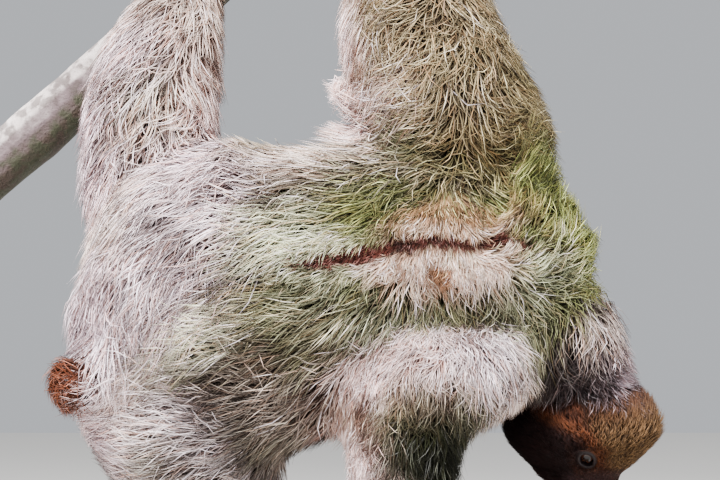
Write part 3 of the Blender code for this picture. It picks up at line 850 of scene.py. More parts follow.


# dark lies above the right arm, in painted shade
# the belly's edge near the right arm, in painted shade
# the right forearm's lower part, moss green in painted shade
LIES = read_lies("""
BODY
# the back and the left flank, from the shoulders to the rump
-21 -40 63  -.97 0 .1  BEIGE 42 16 1
-62 -12 74  -.55 -.1 .6  KHAKI 30 14 6 .7
-76 -70 24  -.85 0 -.5  WHITE 56
-130 -50 41  -.8 0 -.6  WHITE 56
-44 -62 48  -.97 0 -.2  BROWN 50
-70 -60 52  -.92 0 -.35  LILAC 52
-35 -80 18  -.95 0 -.3  PALE_GREEN 54
-55 -80 4  -.93 0 -.4  GREY_GREEN 54
8 -76 26  -.9 0 -.4  ALGAE 40 14
-168 -45 0  -.62 0 -.78  LILAC 56
-126 -75 -7  -.66 0 -.75  WHITE 60
-84 -85 -7  -.78 0 -.62  LILAC 60
-49 -88 -10  -.88 0 -.45  PALE_GREEN 50
-63 -88 -31  -.86 0 -.48  BROWN 50
-105 -84 -30  -.76 0 -.64  LILAC 58
-186 -30 -35  -.2 0 -.98  LILAC 46 15 2 .4
-172 -60 -42  -.25 0 -.97  WHITE 56
-140 -80 -42  -.55 0 -.83  LILAC 58
-112 -88 -52  -.8 0 -.6  BEIGE 52
-150 -66 -64  -.15 0 -.99  BROWN 40 22 -7
-168 -56 -72  -.12 0 -.99  WHITE 56 14 1
-77 -88 -53  -.95 0 -.2  GREY_GREEN 48
-42 -88 -36  -.95 0 -.25  ALGAE 46
-24 -88 -24  -.93 0 -.35  PALE_GREEN 44 14
-116 -80 -76  -.95 0 -.3  GREY_GREEN 48
-148 -64 -88  -.9 0 -.35  PINK 52
-77 -82 -93  -1 0 .05  BROWN 46
-44 -82 -74  -.97 0 -.1  BROWN 46
-92 -84 -66  -.96 0 -.1  PALE_GREEN 46
-20 -80 -70  -.9 0 -.4  MOSS 44
# over the right thigh and along the belly's edge
-130 -70 -113  -.86 0 .42  BEIGE 50
-182 -36 -120  -.85 0 -.3  PINK 44 14 3 .4
-168 -44 -138  -.8 0 .2  LILAC 44 16 1 .35
-112 -66 -128  -.9 0 .3  WHITE 52
-77 -72 -118  -.97 0 .15  BROWN 48
-84 -62 -146  -.95 0 .05  WHITE 50
-52 -66 -128  -.85 0 -.3  MOSS 46
-37 -66 -108  -.75 0 -.6  BEIGE 50 17 2 .4
-42 -48 -142  -.6 0 -.75  MOSS 44
-120 -60 -158  -.85 0 -.2  GREY_GREEN 48
-70 -50 -170  -.75 0 -.6  BROWN 48
# round the patch and over the shoulders
28 -72 40  -.75 0 -.62  ALGAE 38 13
56 -66 52  -.55 0 -.8  MOSS 38 14
70 -74 36  .1 0 -1  ALGAE 32 12
92 -70 34  .3 0 -.92  ALGAE 34 13
122 -52 30  .3 -.2 .92  ALGAE 34 15 5 .35
112 -64 8  .35 -.3 .85  ALGAE 34 15 3 .35
150 -30 8  .75 -.1 .55  ALGAE 34 14 9 .45
158 -25 -20  .9 -.1 .15  ALGAE 34 14 9 .45
128 -64 -14  .75 -.2 .3  ALGAE 36 15 3 .4
112 -72 -34  .5 0 -.85  PALE_GREEN 36 14 0 .4
94 -78 -44  .3 0 -.95  BROWN 36 14 0 .4
48 -84 -44  -.1 0 -.98  ALGAE 36 14 0 .4
4 -88 -40  -.85 0 -.5  ALGAE 42 15
-7 -86 -56  -.92 0 -.36  BROWN 46 17 -1 .35
4 -80 -66  -.85 0 -.5  SHADE 40 20 -4 .4
38 -80 -56  -.55 0 -.8  SHADE 34 18 -3 .5
80 -76 -60  .15 0 -.98  SHADE 32 18 -3 .5
# the belly, the far flank and the rump's far side
-110 80 10  -.8 .1 -.55  LILAC 48
-20 88 20  -.75 .1 -.6  BROWN 46
70 80 10  -.5 .1 -.85  GREY_GREEN 42
-110 60 -90  -.85 0 -.3  BEIGE 46
-20 60 -90  -.7 0 -.65  BROWN 44
70 50 -70  -.3 0 -.95  KHAKI 40
-20 10 92  -.95 0 -.1  KHAKI 38
-195 20 -10  -.25 .1 -.95  LILAC 48
-188 -40 -98  -.6 0 -.7  RUST 30 15 -1 .5
-14 -10 -118  -.7 0 -.6  SHADE 40
-10 20 -100  -.7 0 -.6  SHADE 40
135 50 20  .55 .2 -.6  ALGAE 36 15 4 .4
HEAD
# the neck and nape
162 -14 -44  .45 0 -.88  BEIGE 40 16 6 .5
140 -52 -48  -.88 -.1 -.42  ALGAE 46 16 3 .3
118 -54 -60  -.8 0 -.6  MOSS 42 17
139 -44 -84  -.45 0 -.88  NAPE 44 17 0 .35
128 -56 -72  -.55 0 -.8  NAPE 40 17 0 .35
150 -48 -70  -.15 0 -.98  NAPE 44 16 1 .4
176 -32 -76  .2 0 -.97  NAPE 40 15 2 .4
164 -38 -58  .15 0 -.98  NAPE 44 16 3 .4
166 -38 -94  .05 0 -1  NAPE 34 14 0 .3
192 6 -88  .3 0 -.95  LILAC 34 13 3 .45
204 20 -108  .2 0 -.98  BROWN 28 12 2 .35
130 66 -84  -.3 .1 -.92  NAPE 42
118 40 -112  -.3 .1 -.92  NAPE 36 14
176 66 -86  .2 .1 -.95  NAPE 42
ARM_LEFT
# the left arm, from the elbow's tuft up to the hand
-1 -30 157  -.45 0 -.9  PINK 36 13 1
28 -60 156  -.85 0 -.5  STRAW 46
57 -60 150  .2 0 -.8  STRAW 40 16 1 .9
80 -48 158  .6 0 -.6  STRAW 38 15 3 .7
2 -46 134  -.2 0 -1  TAN 15 9 -1 .5
4 -50 104  -.92 -.05 -.35  PINK 54 14 8 .3
-6 -24 106  -1 -.05 -.15  PINK 50 10 22 .25
-6 -4 94  -1 -.05 -.15  PINK 50 10 22 .3
-10 -14 132  -.5 0 -.85  BEIGE 34 10 7 .4
-8 -14 160  -.6 0 -.8  PINK 36 10 7 .3
28 -76 107  -.85 0 -.5  PINK 50 16 2
68 -72 114  -.62 0 -.78  STRAW 48 16 1 .4
58 -72 134  -.45 0 -.85  STRAW 42 16 1 .8
108 -28 134  .9 -.2 .2  KHAKI 36 14 8 .6
120 -28 102  .95 -.2 .15  STRAW 36 14 8 .6
132 -22 70  .95 -.2 .25  KHAKI 36 14 8 .6
92 -65 96  .55 -.1 -.4  KHAKI 36 15 2 .7
82 -74 84  .15 0 -.7  TAN 34 16 -2 .6
50 -78 80  -.95 0 .05  ALGAE 40 14 1 .3
17 -65 75  -.95 0 -.1  GREY_GREEN 42 14 1 .4
48 -74 66  -.92 0 -.1  MOSS 40 18 -4 .4
104 -60 76  .45 0 .45  KHAKI 34 14 1 .7
98 -66 54  .2 0 -.95  MOSS 34 14 0 .5
128 -36 48  .7 -.1 .55  ALGAE 34 14 6 .45
30 -46 184  -.45 0 -.85  STRAW 42 15
70 -46 188  .1 0 -.95  STRAW 42 15 0 .4
43 0 250  0 -.1 -1  BEIGE 38 13
60 90 250  0 .1 -1  KHAKI 38 13
54 62 300  0 -.2 -1  BEIGE 18 8
57 72 322  0 -.2 -1  TAN 12 6
60 66 130  .15 .1 -.95  KHAKI 42 15 0 .4
0 30 140  -.5 .1 -.8  BEIGE 40 15 1 .4
LEG_LEFT
# the left leg
-124 0 157  -.85 0 -.5  BEIGE 40 14 0 .4
-152 6 150  -.75 0 -.62  LILAC 44 14
-107 10 145  -.3 0 -.95  TAN 38 14 1 .5
-142 -6 124  -.6 0 -.8  GREY_GREEN 46 15 0 .35
-188 20 108  -.4 0 -.9  LILAC 42 14 2 .4
-126 -6 104  -.3 0 -.95  BEIGE 46 16 0 .4
-156 -6 92  -.48 0 -.87  BEIGE 48 16 0 .35
-109 20 108  -.05 0 -1  PINK 42 14 2 .4
-120 40 190  0 0 -1  BEIGE 32 11
-119 68 206  0 0 -1  TAN 13 7
-140 100 110  -.2 .1 -.95  KHAKI 44 15
BODY
-142 -22 62  -.35 0 -.93  BEIGE 50 16 0 .3
-116 -10 64  .2 0 -.97  LILAC 40 15 0 .5
-190 0 64  -.3 0 -.95  LILAC 46 15 2 .35
-186 -10 26  -.35 0 -.93  BEIGE 50 15 1 .3
-150 -34 24  -.62 0 -.78  BEIGE 54 16
LEG_RIGHT
# the right leg, which hangs
-112 -4 -240  -.15 0 -1  LILAC 42 15 0 .35
-112 92 -240  .1 0 -1  BEIGE 42 15 0 .35
-118 40 -284  0 0 -1  BEIGE 28 11
-122 26 -318  0 -.1 -1  TAN 12 7
ARM_RIGHT
# the right arm, bent at the elbow
28 -92 -72  -.35 0 -.9  PINK 17 8 -1 .3
6 -76 -90  -.4 0 -.9  PINK 16 8 -1 .3
62 -84 -76  -.25 0 -.97  PINK 22 10 0 .35
92 -66 -78  .1 0 -1  WHITE 30 13 1 .5
112 -50 -100  .5 -.1 -.85  BEIGE 34 13 4 .45
72 -84 -100  -.15 0 -.98  KHAKI 28 12 0 .5
32 -96 -100  -.45 0 -.88  TAN 15 8 -1 .4
-6 -74 -114  0 0 -1  TAN 14 8 -1 .3
-4 -70 -150  .05 0 -1  PINK 18 9 -1 .35
24 -92 -122  -.25 0 -.96  MOSS 26 11 0 .5
48 -78 -134  -.45 0 -.88  DUSK 32 13 0 .5
70 -58 -140  .25 0 -.95  DUSK 32 13 3 .5
92 -56 -124  .3 0 -.94  MOSS 34 13 3 .5
32 -78 -190  0 0 -1  MOSS 32 12 0 .4
32 -46 -246  0 0 -1  KHAKI 26 10
37 0 -290  0 .1 -1  TAN 13 7
66 0 -110  .2 .1 -.95  MOSS 30 12 0 .4
34 16 -180  0 .1 -1  BROWN 30 12 0 .4
TAIL
# the tail
-190 -60 -90  -.7 -.1 -.6  RUST 26 8 3 .8
-225 -40 -105  -.4 .1 -.8  RUST 24 8 3 .8
""")


@dataclass(frozen=True)
class Zone:
    """A stretch of the coat with a tone of its own over what the lies give; some of them lay painted shade.
    """

    centre: Triple
    radii: Triple
    tone: Tone
    share: float

    def over(self, places: Array) -> Array:
        """Gives how far the zone's tone counts at points from the animal's middle, from 0 to 1."""
        ring = np.linalg.norm((places - np.array(self.centre)) / np.array(self.radii), axis=1)
        return self.share * step_up(ring, 1.3, 0.6)


ZONES = (
    Zone((168, -40, -86), (43, 54, 41), Tone.NAPE, 0.94),
    # painted shade on the belly
    Zone((-56, -78, -98), (46, 40, 28), Tone.SHADE, 0.5),
    Zone((54, -74, -108), (36, 40, 20), Tone.MOSS, 0.6),
    # painted shade over the right forearm's lower part
    Zone((58, -66, -142), (42, 48, 34), Tone.DUSK, 0.92),
    Zone((146, -46, 14), (28, 40, 26), Tone.ALGAE, 0.9),
    Zone((56, -70, 70), (40, 40, 17), Tone.MOSS, 0.5),
    Zone((-212, -44, -96), (28, 54, 32), Tone.RUST, 0.9),
    Zone((128, -62, -25), (28, 36, 15), Tone.PALE_GREEN, 0.45),
    Zone((36, -84, -42), (50, 34, 13), Tone.GREY_GREEN, 0.5),
    Zone((-32, -80, 10), (34, 40, 22), Tone.PALE_GREEN, 0.4),
)


@dataclass
class Pelage:
    """The whole coat's plan: at any place, how hair lies and how it is coloured."""

    origin: Array
    head: HeadForm
    back: Back
    reach: float = 15.0
    spacing: float = 7.0
    border: float = 5.0
    face_edge: float = -44.0
    cut_short: tuple = ((17.0, 9.0, -1.0), (12.0, 6.5, -1.2), (7.0, 8.0, -4.0))  # length, depth and lift
    table: Lattice = field(init=False)

    FLOW, LENGTH, DEPTH, LIFT, WILD = slice(0, 3), 3, 4, 5, 6
    ROOT, TIP, DARK = slice(7, 10), slice(10, 13), 13
    COLUMNS = 14

    def __post_init__(self) -> None:
        """Blends the lies over a coarse lattice that the rest reads."""
        low, high = self.extent()
        parts = {part: self.away(part, low, high) for part in Part}
        grid = parts[Part.BODY]
        places = grid.places() - self.origin
        gaps = np.stack([parts[part].values.ravel() for part in Part], axis=1)
        member = np.exp(-(gaps - gaps.min(axis=1, keepdims=True)) / self.border)
        member /= member.sum(axis=1, keepdims=True)
        order = list(Part)
        total = np.zeros((len(places), self.COLUMNS))
        weight = np.zeros(len(places))
        for lie in LIES:
            apart = ((places - np.array(lie.at)) ** 2).sum(axis=1) + self.reach**2
            share = (member[:, order.index(lie.part)] + 1e-5) / apart**2
            total += share[:, None] * self.row(lie)
            weight += share
        total /= weight[:, None]
        self.table = Lattice(grid.low, grid.step, total.reshape(*grid.values.shape, self.COLUMNS))

    def extent(self) -> tuple[Array, Array]:
        """Gives the corners of a box around all the flesh, with room to spare."""
        boxes = [box_of(name) for name in FLESH]
        room = 24.0
        return np.min([b[0] for b in boxes], axis=0) - room, np.max([b[1] for b in boxes], axis=0) + room

    def away(self, part: Part, low: Array, high: Array) -> Lattice:
        """Measures how far the coarse lattice's spots lie from a part."""
        grid = Form.of_nodes(part.value).distances(self.spacing, 160.0, 40.0)
        return lattice_of(grid, self.spacing, low, high)

    @staticmethod
    def row(lie: Lie) -> Array:
        """Lays a lie's values out in the table's order.

        Args:
            lie: the lie.

        Returns:
            The values.
        """
        flow = unit(np.array(lie.flow))
        tone = lie.tone
        numbers = [lie.length, lie.depth, lie.lift, lie.wild]
        return np.concatenate([flow, numbers, tone.root, tone.tip, [tone.dark]])

    def face(self, local: Array) -> Array:
        """Gives 1 where the face's short fur grows and 0 behind it."""
        edge = local[:, 0] - 0.2 * local[:, 1] - 0.23 * np.maximum(local[:, 1], 0.0)
        beside = np.linalg.norm(local[:, 1:], axis=1)
        return step_up(edge, self.face_edge, self.face_edge + 9.0) * step_up(beside, 88.0, 76.0)

    def read(self, places: Array) -> Array:
        """Reads the plan.

        Args:
            places: points in the world, in millimetres.

        Returns:
            A row of values for each point, in the table's order.
        """
        rows = self.table(places)
        near = places - self.origin
        rows[:, self.FLOW] = unit(rows[:, self.FLOW])
        local = self.head.axes.local(places)
        body = step_up(local[:, 0], -46.0, -60.0)
        short, band = self.back.short(near) * body, self.back.stripe(near, 12.0) * body
        line = self.back.stripe(near) * body
        for share, values in zip((band, short, line), self.cut_short):
            for column, value in zip((self.LENGTH, self.DEPTH, self.LIFT), values):
                rows[:, column] += share * (value - rows[:, column])
        cap = step_up(local[:, 0], -80.0, -48.0) * step_up(np.linalg.norm(local[:, 1:], axis=1), 95.0, 80.0)
        rows[:, self.LENGTH] *= 1.0 - 0.5 * cap
        return rows

    def colours(self, places: Array) -> tuple[Array, Array, Array]:
        """Gives the coat's colours.

        Args:
            places: points in the world, in millimetres.

        Returns:
            The root colour, the tip colour and the share of dark locks at each point.
        """
        rows = self.table(places)
        root, tip, dark = rows[:, self.ROOT].copy(), rows[:, self.TIP].copy(), rows[:, self.DARK].copy()
        local = self.head.axes.local(places)
        body = step_up(local[:, 0], -46.0, -60.0)
        face = self.face(local)
        near = places - self.origin
        layers = [(zone.tone, zone.over(near)) for zone in ZONES]
        layers += [(tone, share * body) for tone, share in self.back.tones(near)]
        layers.append((Tone.FACE, face))
        layers += [(tone, share * face) for tone, share in self.head.tones(local)]
        for tone, share in layers:
            share = np.clip(share, 0.0, 1.0)
            root += share[:, None] * (tone.root - root)
            tip += share[:, None] * (tone.tip - tip)
            dark += share * (tone.dark - dark)
        return root, tip, dark


# ---- the skin ----


@dataclass
class Skin:
    """The one skin under all the coat, with a finer face."""

    plan: Pelage
    head: HeadForm
    step: float = 3.0
    sheath: float = 12.0
    face_from: float = -30.0
    lid_reach: float = 12.0
    features_reach: float = 17.0
    outline: Lattice = field(init=False)
    inner: Lattice = field(init=False)
    obj: Piece = field(init=False)

    def __post_init__(self) -> None:
        """Measures the coat's outer surface from the CAD and the head's own form."""
        low, high = self.plan.extent()
        cad = closed_outline(FLESH, self.step, low, high).blurred(2)
        places = cad.places()
        local = self.head.axes.local(places)
        near = np.linalg.norm(local, axis=1) < 95.0
        values = cad.values.ravel().astype(float)
        form = self.head.outline(local[near])
        values[near] = soft_least(values[near] + 1.6, form, 6.0)
        self.outline = Lattice(cad.low, self.step, values.reshape(cad.values.shape).astype(np.float32))

    def depth(self, places: Array) -> Array:
        """Gives how far the skin lies under the coat's outer surface.

        Args:
            places: points in the world.

        Returns:
            Depths in millimetres.
        """
        local = self.head.axes.local(places)
        face = self.plan.face(local)
        depth = self.plan.read(places)[:, Pelage.DEPTH]
        return depth + face * (self.head.fur(local) - depth)

    def build(self) -> None:
        """Makes the skin's mesh, refines its face and settles the face onto the head's own form."""
        lattice = self.outline
        places = lattice.places()
        near = np.abs(lattice.values.ravel()) < 45.0
        depth = np.zeros(len(places))
        depth[near] = self.depth(places[near])
        claws = Form.of_nodes(CLAWS).distances(self.step, 36.0, 6.0)
        high = lattice.low + self.step * np.array(lattice.values.shape)
        gap = lattice_of(claws, self.step, lattice.low, high - self.step)
        room = step_up(gap(places), 1.0, self.sheath)
        depth = np.where(near, 0.8 + room * (depth - 0.8), 0.0)
        inner = lattice.values + depth.reshape(lattice.values.shape)
        self.inner = Lattice(lattice.low, self.step, inner.astype(np.float32)).blurred(1)
        form = Form.of_level(as_grid(self.inner), 0.0)
        obj = make_mesh("skin", form.points, form.triangles)
        self.refine(obj.data)
        self.settle(obj.data)
        self.obj = obj

    def refine(self, mesh: bpy.types.Mesh) -> None:
        """Cuts the face's triangles smaller, and the lids' and the mouth's smaller still.

        Args:
            mesh: the skin's mesh.
        """
        bm = bmesh.new()
        bm.from_mesh(mesh)
        for wanted in (self.in_face, self.in_features, self.in_lids):
            spots = np.array([v.co[:] for v in bm.verts]) / MM
            inside = wanted(self.head.axes.local(spots))
            bm.verts.ensure_lookup_table()
            edges = [e for e in bm.edges if inside[e.verts[0].index] and inside[e.verts[1].index]]
            bmesh.ops.subdivide_edges(bm, edges=edges, cuts=1, use_grid_fill=True)
            bmesh.ops.triangulate(bm, faces=[f for f in bm.faces if len(f.verts) > 3])
            bm.verts.index_update()
        bm.to_mesh(mesh)
        bm.free()
        mesh.polygons.foreach_set("use_smooth", np.ones(len(mesh.polygons), dtype=bool))

    def in_face(self, local: Array) -> Array:
        """Tells which places are on the face."""
        return (local[:, 0] > self.face_from) & (np.linalg.norm(local, axis=1) < 90.0)

    def in_features(self, local: Array) -> Array:
        """Tells which places are near the eyes, nose or mouth."""
        return self.in_face(local) & ((local[:, 0] > 22.0) | self.near_eyes(local, self.features_reach))

    def in_lids(self, local: Array) -> Array:
        """Tells which places are on the lids or in the mouth's crease."""
        crease = (self.head.mouth(local) > 0.05) & (local[:, 0] > 12.0)
        return self.near_eyes(local, self.lid_reach) | crease

    def near_eyes(self, local: Array, reach: float) -> Array:
        """Tells which places lie within reach of either eye's middle."""
        gaps = [self.head.around_eye(local, side)[0] for side in (-1.0, 1.0)]
        return np.minimum(*gaps) < reach

    def field(self, places: Array) -> Array:
        """Measures places against the finished skin: the body's lattice, and the head's own form."""
        local = self.head.axes.local(places)
        share = step_up(local[:, 0], self.face_from + 2.0, self.face_from + 14.0)
        return self.inner(places) * (1.0 - share) + self.head.skin(local) * share

    def settle(self, mesh: bpy.types.Mesh) -> None:
        """Moves the face's vertices onto the head's own form, evening them out on the way.

        Args:
            mesh: the skin's mesh.
        """
        points = read_points(mesh)
        local = self.head.axes.local(points)
        face = np.flatnonzero(self.in_face(local))
        ends = read_rows(mesh.edges, "vertices", 2, np.int32)
        links = np.bincount(ends.ravel(), minlength=len(points))
        for evened in (False, True, True, False, True, False, False):
            if evened:
                total = np.zeros_like(points)
                np.add.at(total, ends[:, 0], points[ends[:, 1]])
                np.add.at(total, ends[:, 1], points[ends[:, 0]])
                points[face] += 0.5 * (total[face] / links[face, None] - points[face])
            points[face] = self.pulled(points[face])
        axes = self.head.axes
        points[face] = axes.world(self.head.opened(axes.local(points[face])))
        mesh.vertices.foreach_set("co", (points * MM).astype(np.float32).ravel())
        mesh.update()

    def pulled(self, places: Array) -> Array:
        """Steps places once towards the surface of the field.

        Args:
            places: points near the surface.

        Returns:
            The points after one step.
        """
        nudge, flattest, furthest = 0.25, 0.15, 2.5
        value = self.field(places)
        pairs = [(self.field(places + d), self.field(places - d)) for d in nudge * np.eye(3)]
        slope = np.stack([(on - back) / (2 * nudge) for on, back in pairs], axis=1)
        size = np.maximum((slope**2).sum(axis=1, keepdims=True), flattest)
        move = -value[:, None] * slope / size
        far = np.linalg.norm(move, axis=1, keepdims=True)
        return places + move * np.minimum(1.0, furthest / np.maximum(far, 1e-6))

    def mark(self) -> None:
        """Writes the coat's colours and the bare skin's share on the mesh."""
        mesh = self.obj.data
        points = read_points(mesh)
        root, tip, _ = self.plan.colours(points)
        local = self.head.axes.local(points)
        face = self.plan.face(local)
        # the skin takes a colour near the locks' darker roots, partly painted shade for the gaps between
        # locks
        write_values(mesh, "under", root + (0.30 + 0.25 * face)[:, None] * (tip - root))
        write_values(mesh, "bare", self.head.bare(local) * (local[:, 0] > -20.0))
        write_values(mesh, "crease", self.head.mouth(local))
        lids = np.zeros(len(points))
        for side in (-1.0, 1.0):
            reach, ahead, ring = self.head.around_eye(local, side)
            lids = np.maximum(lids, step_up(ring, 2.7, 2.1) * (reach < 14.0) * (ahead > -2.0))
        write_values(mesh, "lid", lids)


# ---- the coat ----


class Unwrap:
    """A flat map of the skin's own shape, on which each lock's patch is placed."""

    def __init__(self, skin: Piece, share: float = 0.06) -> None:
        """Unwraps a light copy of the skin.

        Args:
            skin: the skin.
            share: how many of its triangles the copy keeps.
        """
        copy = skin.copy()
        copy.data = skin.data.copy()
        bpy.context.scene.collection.objects.link(copy)
        thin = copy.modifiers.new("thin", "DECIMATE")
        thin.ratio = share
        thin.use_collapse_triangulate = True
        for other in bpy.context.selected_objects:
            other.select_set(False)
        bpy.context.view_layer.objects.active = copy
        copy.select_set(True)
        bpy.ops.object.modifier_apply(modifier=thin.name)
        bpy.ops.object.mode_set(mode="EDIT")
        bpy.ops.mesh.select_all(action="SELECT")
        bpy.ops.uv.smart_project(angle_limit=1.15, island_margin=0.004)
        bpy.ops.object.mode_set(mode="OBJECT")
        mesh = copy.data
        self.points = read_points(mesh)
        self.triangles = read_triangles(mesh)
        spots = read_rows(mesh.uv_layers.active.data, "uv", 2, np.float32)
        self.spots = spots[read_rows(mesh.loop_triangles, "loops", 3, np.int32)]
        self.tree = BVHTree.FromPolygons(self.points.tolist(), self.triangles.tolist())
        bpy.data.objects.remove(copy)

    def __call__(self, places: Array) -> Array:
        """Finds places on the flat map.

        Args:
            places: points on the skin.

        Returns:
            The map's spot for each.
        """
        found = [self.tree.find_nearest(place) for place in places.tolist()]
        on = np.array([hit[0][:] for hit in found])
        face = np.array([hit[2] for hit in found])
        a, b, c = (self.points[self.triangles[face, i]] for i in range(3))
        whole = np.cross(b - a, c - a)
        size = np.maximum((whole**2).sum(axis=1), 1e-9)
        v = (np.cross(on - a, c - a) * whole).sum(axis=1) / size
        w = (np.cross(b - a, on - a) * whole).sum(axis=1) / size
        shares = np.clip(np.stack([1.0 - v - w, v, w], axis=1), 0.0, 1.0)
        shares /= shares.sum(axis=1, keepdims=True)
        return (self.spots[face] * shares[:, :, None]).sum(axis=1)


@dataclass
class Locks:
    """Many locks of hair as paths, before they become meshes."""

    path: Array
    normal: Array
    width: Array
    root: Array
    tip: Array
    strand: Array

    PATCH = 0.003

    def __len__(self) -> int:
        """Counts the locks."""
        return len(self.path)

    def some(self, chosen: Array) -> "Locks":
        """Picks some of the locks."""
        parts = (self.path, self.normal, self.width, self.root, self.tip, self.strand)
        return Locks(*(part[chosen] for part in parts))

    def mesh(self, name: str, flat: Array, taper: Sequence[float]) -> Piece:
        """Makes the locks into one object of solid three-sided spikes.

        Args:
            name: the piece's name.
            flat: each root's spot on the flat map.
            taper: the share of the width at each ring from the root on, without the tip.

        Returns:
            The piece, with its colours and its map.
        """
        count, rings = len(self), len(taper)
        ahead = unit(np.diff(self.path, axis=1))
        middle = unit(np.concatenate([ahead[:, :1], ahead[:, 1:] + ahead[:, :-1]], axis=1))[:, :rings]
        side = unit(np.cross(middle, self.normal[:, None, :]))
        up = np.cross(side, middle)
        half = 0.5 * self.width[:, None] * np.asarray(taper)
        corners = []
        for across, out in ((0.0, 0.75), (-1.0, -0.35), (1.0, -0.35)):
            corners.append(self.path[:, :rings] + half[..., None] * (across * side + out * up))
        rows = np.stack(corners, axis=2).reshape(count, rings * 3, 3)
        points = np.concatenate([rows, self.path[:, -1:]], axis=1).reshape(-1, 3)
        each = rings * 3 + 1
        faces = [(0, 2, 1)]
        for ring in range(rings - 1):
            for i in range(3):
                a, b = ring * 3 + i, ring * 3 + (i + 1) % 3
                faces += [(a, b, b + 3), (a, b + 3, a + 3)]
        last = (rings - 1) * 3
        faces += [(last + i, last + (i + 1) % 3, each - 1) for i in range(3)]
        pattern = np.array(faces)
        triangles = (pattern[None] + each * np.arange(count)[:, None, None]).reshape(-1, 3)
        obj = make_mesh(name, points, triangles)
        along = np.append(np.repeat(np.arange(rings) / rings, 3), 1.0)
        write_values(obj.data, "along", np.tile(along, count))
        write_values(obj.data, "strand", np.repeat(self.strand, each))
        write_values(obj.data, "under", np.repeat(self.root, each, axis=0))
        write_values(obj.data, "over", np.repeat(self.tip, each, axis=0))
        across = np.append(np.tile([0.5, 0.0, 1.0], rings), 0.5)
        spot = np.stack([across - 0.5, along - 0.5], axis=1) * self.PATCH
        low, high = self.PATCH, 1.0 - self.PATCH
        placed = np.clip(flat, low, high)[:, None, :] + spot[pattern.ravel()][None]
        layer = obj.data.uv_layers.new(name="OFBake")
        layer.data.foreach_set("uv", placed.astype(np.float32).ravel())
        return obj


